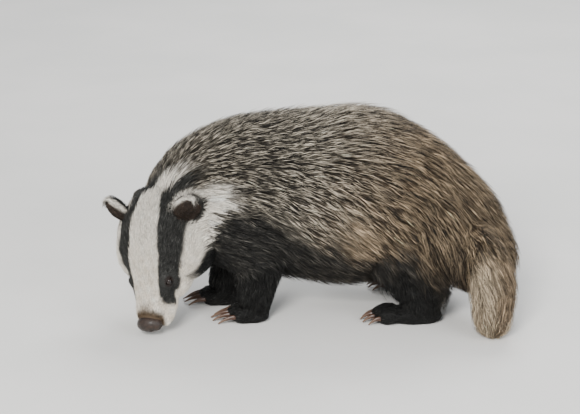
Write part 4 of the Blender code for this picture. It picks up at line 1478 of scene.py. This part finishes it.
class Graph:
    """A material's node tree with short calls to fill it."""

    def __init__(self, name: str, roughness: float, **numbers: float) -> None:
        """Makes a material and sets its shader's uniform numbers.

        Args:
            name: The material's name.
            roughness: The shader's roughness.
            **numbers: Values of other sockets, their spaces written as underscores.
        """
        self.material = bpy.data.materials.new(name)
        self.material.use_nodes = True
        self.tree = self.material.node_tree
        self.shader = self.tree.nodes["Principled BSDF"]
        self.shader.inputs["Roughness"].default_value = roughness
        for socket, value in numbers.items():
            self.shader.inputs[socket.replace("_", " ")].default_value = value

    def node(self, kind: str, **values: object) -> bpy.types.Node:
        """Adds a node.

        Args:
            kind: Its type.
            **values: Its properties, and sockets to link or set, named in_ with their number.

        Returns:
            The node.
        """
        made = self.tree.nodes.new(kind)
        for name, value in values.items():
            if not name.startswith("in_"):
                setattr(made, name, value)
        for name, value in values.items():
            if name.startswith("in_"):
                socket = made.inputs[int(name[3:])]
                if isinstance(value, bpy.types.NodeSocket):
                    self.tree.links.new(value, socket)
                else:
                    socket.default_value = value
        return made

    def coordinates(self) -> bpy.types.NodeSocket:
        """Returns the object's own coordinates."""
        return self.node("ShaderNodeTexCoord").outputs["Object"]

    def tone(self, name: str) -> bpy.types.NodeSocket:
        """Returns a named colour attribute."""
        return self.node("ShaderNodeAttribute", attribute_name=name).outputs["Color"]

    def numbers(self, name: str) -> list[bpy.types.NodeSocket]:
        """Returns the three numbers of a named attribute."""
        vector = self.node("ShaderNodeAttribute", attribute_name=name).outputs["Vector"]
        return self.node("ShaderNodeSeparateXYZ", in_0=vector).outputs[:3]

    def noise(self, scale: float, detail: float = 3, stretch: Point = (1, 1, 1)) -> bpy.types.NodeSocket:
        """Adds a noise on the object's own coordinates.

        Args:
            scale: How fine it is.
            detail: How many finer noises it holds.
            stretch: How much each axis is scaled before.

        Returns:
            Its grey value.
        """
        spread = self.node("ShaderNodeMapping", in_0=self.coordinates(), in_3=stretch)
        made = self.node("ShaderNodeTexNoise", in_0=spread.outputs[0])
        made.inputs["Scale"].default_value = scale
        made.inputs["Detail"].default_value = detail
        return made.outputs[0]

    def ranged(self, value: bpy.types.NodeSocket, old: Range, new: Range = (0, 1)) -> bpy.types.NodeSocket:
        """Carries a value smoothly from one range to another.

        Args:
            value: The value.
            old: The range that it is read in.
            new: The range that it is carried to.

        Returns:
            The carried value.
        """
        made = self.node("ShaderNodeMapRange", interpolation_type="SMOOTHSTEP", in_0=value)
        for k, number in enumerate((*old, *new)):
            made.inputs[k + 1].default_value = number
        return made.outputs[0]

    def maths(self, operation: str, first: object, second: object) -> bpy.types.NodeSocket:
        """Returns the result of a calculation."""
        return self.node("ShaderNodeMath", operation=operation, in_0=first, in_1=second).outputs[0]

    def mixed(self, share: object, first: object, second: object, blend: str = "MIX") -> bpy.types.NodeSocket:
        """Mixes two colours.

        Args:
            share: The share of the second.
            first: A socket or a colour.
            second: The same.
            blend: Blender's name of the way they mix.

        Returns:
            The mixed colour.
        """
        made = self.node("ShaderNodeMix", data_type="RGBA", blend_type=blend)
        for socket, value in ((made.inputs[0], share), (made.inputs[6], first), (made.inputs[7], second)):
            if isinstance(value, bpy.types.NodeSocket):
                self.tree.links.new(value, socket)
            else:
                socket.default_value = value
        return made.outputs[2]

    def shaded(self, colour: object, grey: bpy.types.NodeSocket) -> bpy.types.NodeSocket:
        """Returns a colour multiplied by a grey value."""
        tint = self.node("ShaderNodeCombineColor", in_0=grey, in_1=grey, in_2=grey).outputs[0]
        return self.mixed(1.0, colour, tint, "MULTIPLY")

    def colour(self, value: bpy.types.NodeSocket) -> None:
        """Links the shader's colour."""
        self.tree.links.new(value, self.shader.inputs["Base Color"])

    def bump(self, height: bpy.types.NodeSocket, strength: float, distance: float) -> None:
        """Links a bump to the shader."""
        made = self.node("ShaderNodeBump", in_0=strength, in_1=distance)
        self.tree.links.new(height, made.inputs["Height"])
        self.tree.links.new(made.outputs[0], self.shader.inputs["Normal"])


@dataclass(frozen=True)
class CoatFinish:
    """Hair that is woolly at its root and darkened there by painted shade, banded dark and pale where it is
    grizzled, and worn at its tip.
    """

    roughness: float = 0.52
    specular: float = 0.22

    def make(self, tones: Tones) -> bpy.types.Material:
        """Makes the material.

        Args:
            tones: The colours of the bands.

        Returns:
            The material.
        """
        graph = Graph("coat_hair", self.roughness, Specular_IOR_Level=self.specular)
        along, chance, banded = graph.numbers("strand")
        shift = graph.maths("MULTIPLY", graph.maths("SUBTRACT", chance, 0.5), 0.22)
        shifted = graph.maths("ADD", along, shift)
        dark = graph.maths("MULTIPLY", graph.ranged(shifted, (0.34, 0.48)), banded)
        pale = graph.ranged(shifted, (0.52, 0.70))
        colour = graph.mixed(dark, graph.tone("root_tone"), (*tones.band, 1))
        colour = graph.mixed(pale, colour, graph.tone("tip_tone"))
        shade = graph.maths("ADD", 0.80, graph.maths("MULTIPLY", chance, 0.34))
        wisps = graph.ranged(graph.noise(420, 2), (0.3, 0.7), (0.86, 1.10))
        shade = graph.maths("MULTIPLY", shade, wisps)
        # Painted shade: each tuft grows darker towards its root, down to 0.62 at the skin, under the hair
        # that lies over it.
        under = graph.ranged(along, (0.0, 0.35), (0.62, 1.0))
        graph.colour(graph.shaded(colour, graph.maths("MULTIPLY", shade, under)))
        return graph.material


@dataclass(frozen=True)
class SkinFinish:
    """Skin under short fur, with the same markings as the coat and fine hair in its bump."""

    roughness: float = 0.68

    def make(self) -> bpy.types.Material:
        """Makes the material.

        Returns:
            The material.
        """
        graph = Graph("short_fur_skin", self.roughness, Specular_IOR_Level=0.2)
        streak = graph.noise(900, 3, (1, 1, 0.35))
        graph.colour(graph.shaded(graph.tone("root_tone"), graph.ranged(streak, (0.3, 0.7), (0.70, 1.0))))
        graph.bump(streak, 0.5, 0.0006)
        return graph.material


@dataclass(frozen=True)
class NoseFinish:
    """Moist brown leather in small rounded plates."""

    roughness: float = 0.42

    def make(self) -> bpy.types.Material:
        """Makes the material.

        Returns:
            The material.
        """
        gloss = {"Specular_IOR_Level": 0.35, "Coat_Weight": 0.12, "Coat_Roughness": 0.25}
        graph = Graph("nose_leather", self.roughness, **gloss)
        cells = graph.node("ShaderNodeTexVoronoi", feature="DISTANCE_TO_EDGE", in_0=graph.coordinates())
        cells.inputs["Scale"].default_value = 1100
        plate = graph.ranged(cells.outputs["Distance"], (0.0, 0.14))
        mottle = graph.ranged(graph.noise(240, 4), (0.35, 0.65))
        skin = graph.mixed(mottle, (0.020, 0.011, 0.007, 1), (0.042, 0.025, 0.017, 1))
        graph.colour(graph.mixed(plate, (0.010, 0.007, 0.006, 1), skin))
        graph.bump(plate, 0.35, 0.0003)
        return graph.material


@dataclass(frozen=True)
class EyeFinish:
    """A wet dark eye: a black pupil, a dark brown iris and a clear coat over both."""

    def make(self) -> bpy.types.Material:
        """Makes the material.

        Returns:
            The material.
        """
        graph = Graph("eye_wet", 0.12, Specular_IOR_Level=0.25, Coat_Weight=0.45, Coat_Roughness=0.02)
        gaze = graph.numbers("gaze")[0]
        fibres = graph.ranged(graph.noise(1500, 3), (0.3, 0.7), (0.6, 1.3))
        iris = graph.shaded((0.012, 0.006, 0.004, 1), fibres)
        colour = graph.mixed(graph.ranged(gaze, (0.42, 0.48)), (0.002, 0.002, 0.002, 1), iris)
        graph.colour(graph.mixed(graph.ranged(gaze, (0.80, 0.88)), colour, (0.010, 0.007, 0.006, 1)))
        return graph.material


@dataclass(frozen=True)
class ClawFinish:
    """Worn reddish-brown horn, darker at the root and streaked along its length."""

    def make(self) -> bpy.types.Material:
        """Makes the material.

        Returns:
            The material.
        """
        graph = Graph("claw_horn", 0.38, Specular_IOR_Level=0.45)
        along = graph.numbers("length_share")[0]
        streak = graph.noise(700, 4, (0.25, 1, 1))
        veins = graph.ranged(streak, (0.35, 0.65))
        horn = graph.mixed(veins, (0.036, 0.017, 0.011, 1), (0.078, 0.040, 0.025, 1))
        graph.colour(graph.mixed(graph.ranged(along, (0.2, 1.0)), horn, (0.14, 0.085, 0.056, 1)))
        graph.bump(streak, 0.25, 0.0002)
        return graph.material


class Nose:
    """The bare pad with two nostrils that open forwards and to the side, and a groove between them."""

    half_width = 0.0155
    voxel = 0.00042
    nostril = (
        (-0.0040, 0.0058, 0.0035),
        (0.0030, 0.0062, 0.0030),
        (0.0052, 0.0108, 0.0),
        (0.0054, 0.0180, -0.0015),
    )

    def __init__(self, head: HeadAxes) -> None:
        """Keeps the head's axes."""
        self.head = head

    def make(self) -> bpy.types.Object:
        """Shapes the pad.

        Returns:
            The finished pad.
        """
        head, half = self.head, self.half_width
        turn = head.turn()
        pieces = [ball("pad", head.place(*head.pad_middle), (0.0104, half - 0.0002, 0.0109), turn)]
        for _, side in SIDES:
            wing = head.place(0.0085, side * half * 0.55, 0.0010)
            pieces.append(ball("wing", wing, (0.0087, half * 0.54, 0.0087), turn))
        nose = joined("nose_pad", pieces)
        melted(nose, self.voxel, 8)
        places = vertex_places(nose)
        _, left, up = head.measure(places)
        forward = np.array(head.way(1, 0, 0))
        groove = 0.0009 * np.exp(-((left / 0.0007) ** 2)) * ease(0.006, -0.002, up)
        places -= forward * groove[:, None]
        for _, side in SIDES:
            path = [tuple(head.place(back, side * out, high)) for back, out, high in self.nostril]
            line = smooth_rows(path, 40)
            shortest = np.linalg.norm(places[:, None] - line[None], axis=2).min(axis=1)
            inward = unit(np.array(head.place(0.0125, side * 0.0045, 0.002)) - places)
            places += inward * (0.0036 * ease(0.0030, 0.0013, shortest))[:, None]
        set_places(nose, places)
        shade_smooth(nose)
        nose.data.materials.append(NoseFinish().make())
        return nose


class Eyes:
    """The two wet eyeballs."""

    def __init__(self, head: HeadAxes, middles: dict[str, Vector]) -> None:
        """Keeps the head's axes and the eyes' middles."""
        self.head = head
        self.middles = middles

    def make(self) -> list[bpy.types.Object]:
        """Shapes both eyeballs.

        Returns:
            The eyeballs, each with a cornea that stands a little proud.
        """
        finish = EyeFinish().make()
        eyes = []
        for name, side in SIDES:
            out = self.head.way(0.30, side, 0.10)
            turn = out.to_track_quat("Z", "Y").to_matrix()
            eye = ball(f"eyeball_{name}", self.middles[name], (EYE_RADIUS,) * 3, turn, 48)
            places = vertex_places(eye)
            offset = places - np.array(self.middles[name])
            facing = offset @ np.array(out) / EYE_RADIUS
            radial = np.sqrt(np.clip(1 - facing**2, 0, 1)) + 2 * (facing < 0)
            bulge = 0.0003 * ease(0.80, 0.45, radial)
            set_places(eye, places + np.array(out) * bulge[:, None])
            add_vectors(eye.data, "gaze", np.clip(radial, 0, 1)[:, None])
            shade_smooth(eye)
            eye.data.materials.append(finish)
            eyes.append(eye)
        return eyes


class Claws:
    """The five claws of each paw, bent down to the floor and higher than wide."""

    root_radius = 0.0031

    def __init__(self, build: Build) -> None:
        """Keeps the paws' sizes."""
        self.build = build

    def make(self) -> dict[str, bpy.types.Object]:
        """Shapes every claw.

        Returns:
            Each claw by the name of the solid that it stands for.
        """
        finish = ClawFinish().make()
        claws = {}
        for paw in self.build.paws:
            for toe in self.build.toes:
                name = f"claw_{paw}_{toe + 3}"
                claws[name] = self.make_claw(name, paw, toe)
                claws[name].data.materials.append(finish)
        return claws

    def make_claw(self, solid: str, paw: str, toe: int) -> bpy.types.Object:
        """One claw.

        Args:
            solid: The name of the solid that it stands for.
            paw: The paw's name.
            toe: The toe, from -2 to 2.

        Returns:
            The claw, with its share of length as an attribute.
        """
        root, way = self.build.toe_root(paw, toe)
        place = self.build.paw_frame(paw)
        length = self.build.paws[paw][5] * (1 - 0.06 * abs(toe))
        drop = root.z * 0.72
        rows = []
        for share in (-0.16, 0.15, 0.40, 0.62, 0.82, 1.0):
            ahead = max(share, 0)
            middle = place @ (root + way * length * share - Vector((0, 0, drop * ahead**2)))
            radius = self.root_radius * (1 - 0.80 * ahead)
            rows.append((*middle, radius * 0.80, radius * 1.15, radius * 1.00))
        claw = tube("horn_" + solid[5:], rows, 13, 14, (0, 0, 1))
        places = vertex_places(claw)
        reach = np.linalg.norm(places - np.array(place @ root), axis=1)
        add_vectors(claw.data, "length_share", np.clip(reach / length, 0, 1)[:, None])
        shade_smooth(claw)
        return claw


@dataclass(frozen=True)
class Studio:
    """The pale floor, the soft lights and the camera."""

    look_at: Point = (0, 0, 0.130)
    camera_place: Point = (0, -2.3776, 0.9025)
    elevation: float = 18
    lens: float = 124.1
    floor_size: float = 16
    lights: tuple[tuple[str, Point, float, float, Colour], ...] = (
        ("key", (-0.7, -2.7, 1.8), 1.0, 150, (1.0, 0.98, 0.95)),
        ("fill", (1.9, -1.8, 1.1), 1.6, 40, (0.95, 0.97, 1.0)),
        ("rim", (0.5, 1.8, 2.0), 1.4, 50, (1.0, 1.0, 1.0)),
    )
    sky_colour: Colour = (0.92, 0.94, 0.96)
    sky_strength: float = 0.6

    def make(self) -> None:
        """Makes the floor, the lights, the sky and the camera."""
        self.make_floor()
        for light in self.lights:
            self.make_light(*light)
        world = bpy.data.worlds.new("soft_sky")
        world.use_nodes = True
        sky = world.node_tree.nodes["Background"]
        sky.inputs["Color"].default_value = (*self.sky_colour, 1)
        sky.inputs["Strength"].default_value = self.sky_strength
        bpy.context.scene.world = world
        self.make_camera()

    def make_floor(self) -> None:
        """Makes a wide pale floor with a fine mottle."""
        bpy.ops.mesh.primitive_plane_add(size=self.floor_size, location=(0, 0, 0))
        floor = bpy.context.object
        floor.name = "floor"
        graph = Graph("pale_floor", 0.7, Specular_IOR_Level=0.2)
        mottle = graph.ranged(graph.noise(3.5, 5), (0.3, 0.7))
        graph.colour(graph.mixed(mottle, (0.74, 0.74, 0.72, 1), (0.80, 0.79, 0.77, 1)))
        graph.bump(graph.noise(140, 3), 0.08, 0.0004)
        floor.data.materials.append(graph.material)

    def make_light(self, name: str, place: Point, size: float, power: float, colour: Colour) -> None:
        """Makes a soft lamp that faces the badger.

        Args:
            name: Its name.
            place: Where it stands.
            size: Its width and height.
            power: Its power in watts.
            colour: Its colour.
        """
        bpy.ops.object.light_add(type="AREA", location=place)
        lamp = bpy.context.object
        lamp.name = name
        lamp.data.size = size
        lamp.data.energy = power
        lamp.data.color = colour
        lamp.rotation_euler = (Vector(self.look_at) - Vector(place)).to_track_quat("-Z", "Y").to_euler()

    def make_camera(self) -> None:
        """Makes the camera at the photograph's angle."""
        bpy.ops.object.camera_add(location=Vector(self.camera_place) + STEP)
        camera = bpy.context.object
        camera.data.lens = self.lens
        camera.data.sensor_width = 36
        camera.rotation_euler = (math.radians(90 - self.elevation), 0, 0)
        bpy.context.scene.camera = camera


def finished(piece: bpy.types.Object, solids: list[str]) -> None:
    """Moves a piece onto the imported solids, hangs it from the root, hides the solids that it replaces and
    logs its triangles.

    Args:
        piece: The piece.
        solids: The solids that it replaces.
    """
    piece.data.transform(Matrix.Translation(STEP))
    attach(piece, ROOT)
    if solids:
        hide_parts(*solids)
    piece.data.calc_loop_triangles()
    log.info("%s: %d triangles", piece.name, len(piece.data.loop_triangles))


def main() -> None:
    """Builds the badger and its studio."""
    logging.basicConfig(level=logging.INFO, format="%(message)s")
    head, build, tones = HeadAxes(), Build(), Tones()
    eyes = {name: sum(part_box("eye_" + name), Vector()) / 2 - STEP for name, _ in SIDES}
    body = Body(build, head, Markings(build, head, tones), eyes)
    skin = Skin(build, head, eyes).make()
    coat = Coat(skin, body, 1.0).make()
    add_colours(skin.data, "root_tone", body.survey(vertex_places(skin))["root"])
    skin.data.materials.clear()
    skin.data.materials.append(SkinFinish().make())
    flesh = ["torso", "neck", "head", "tail", "ear_left", "ear_right", *build.legs, *build.paws]
    finished(skin, flesh)
    hair = CoatFinish().make(tones)
    for piece in coat:
        piece.data.materials.append(hair)
        finished(piece, [])
    finished(Nose(head).make(), ["nose"])
    for eye in Eyes(head, eyes).make():
        finished(eye, ["eye_" + eye.name.split("_")[1]])
    for solid, claw in Claws(build).make().items():
        finished(claw, [solid])
    Studio().make()


if __name__ == "__main__":
    main()
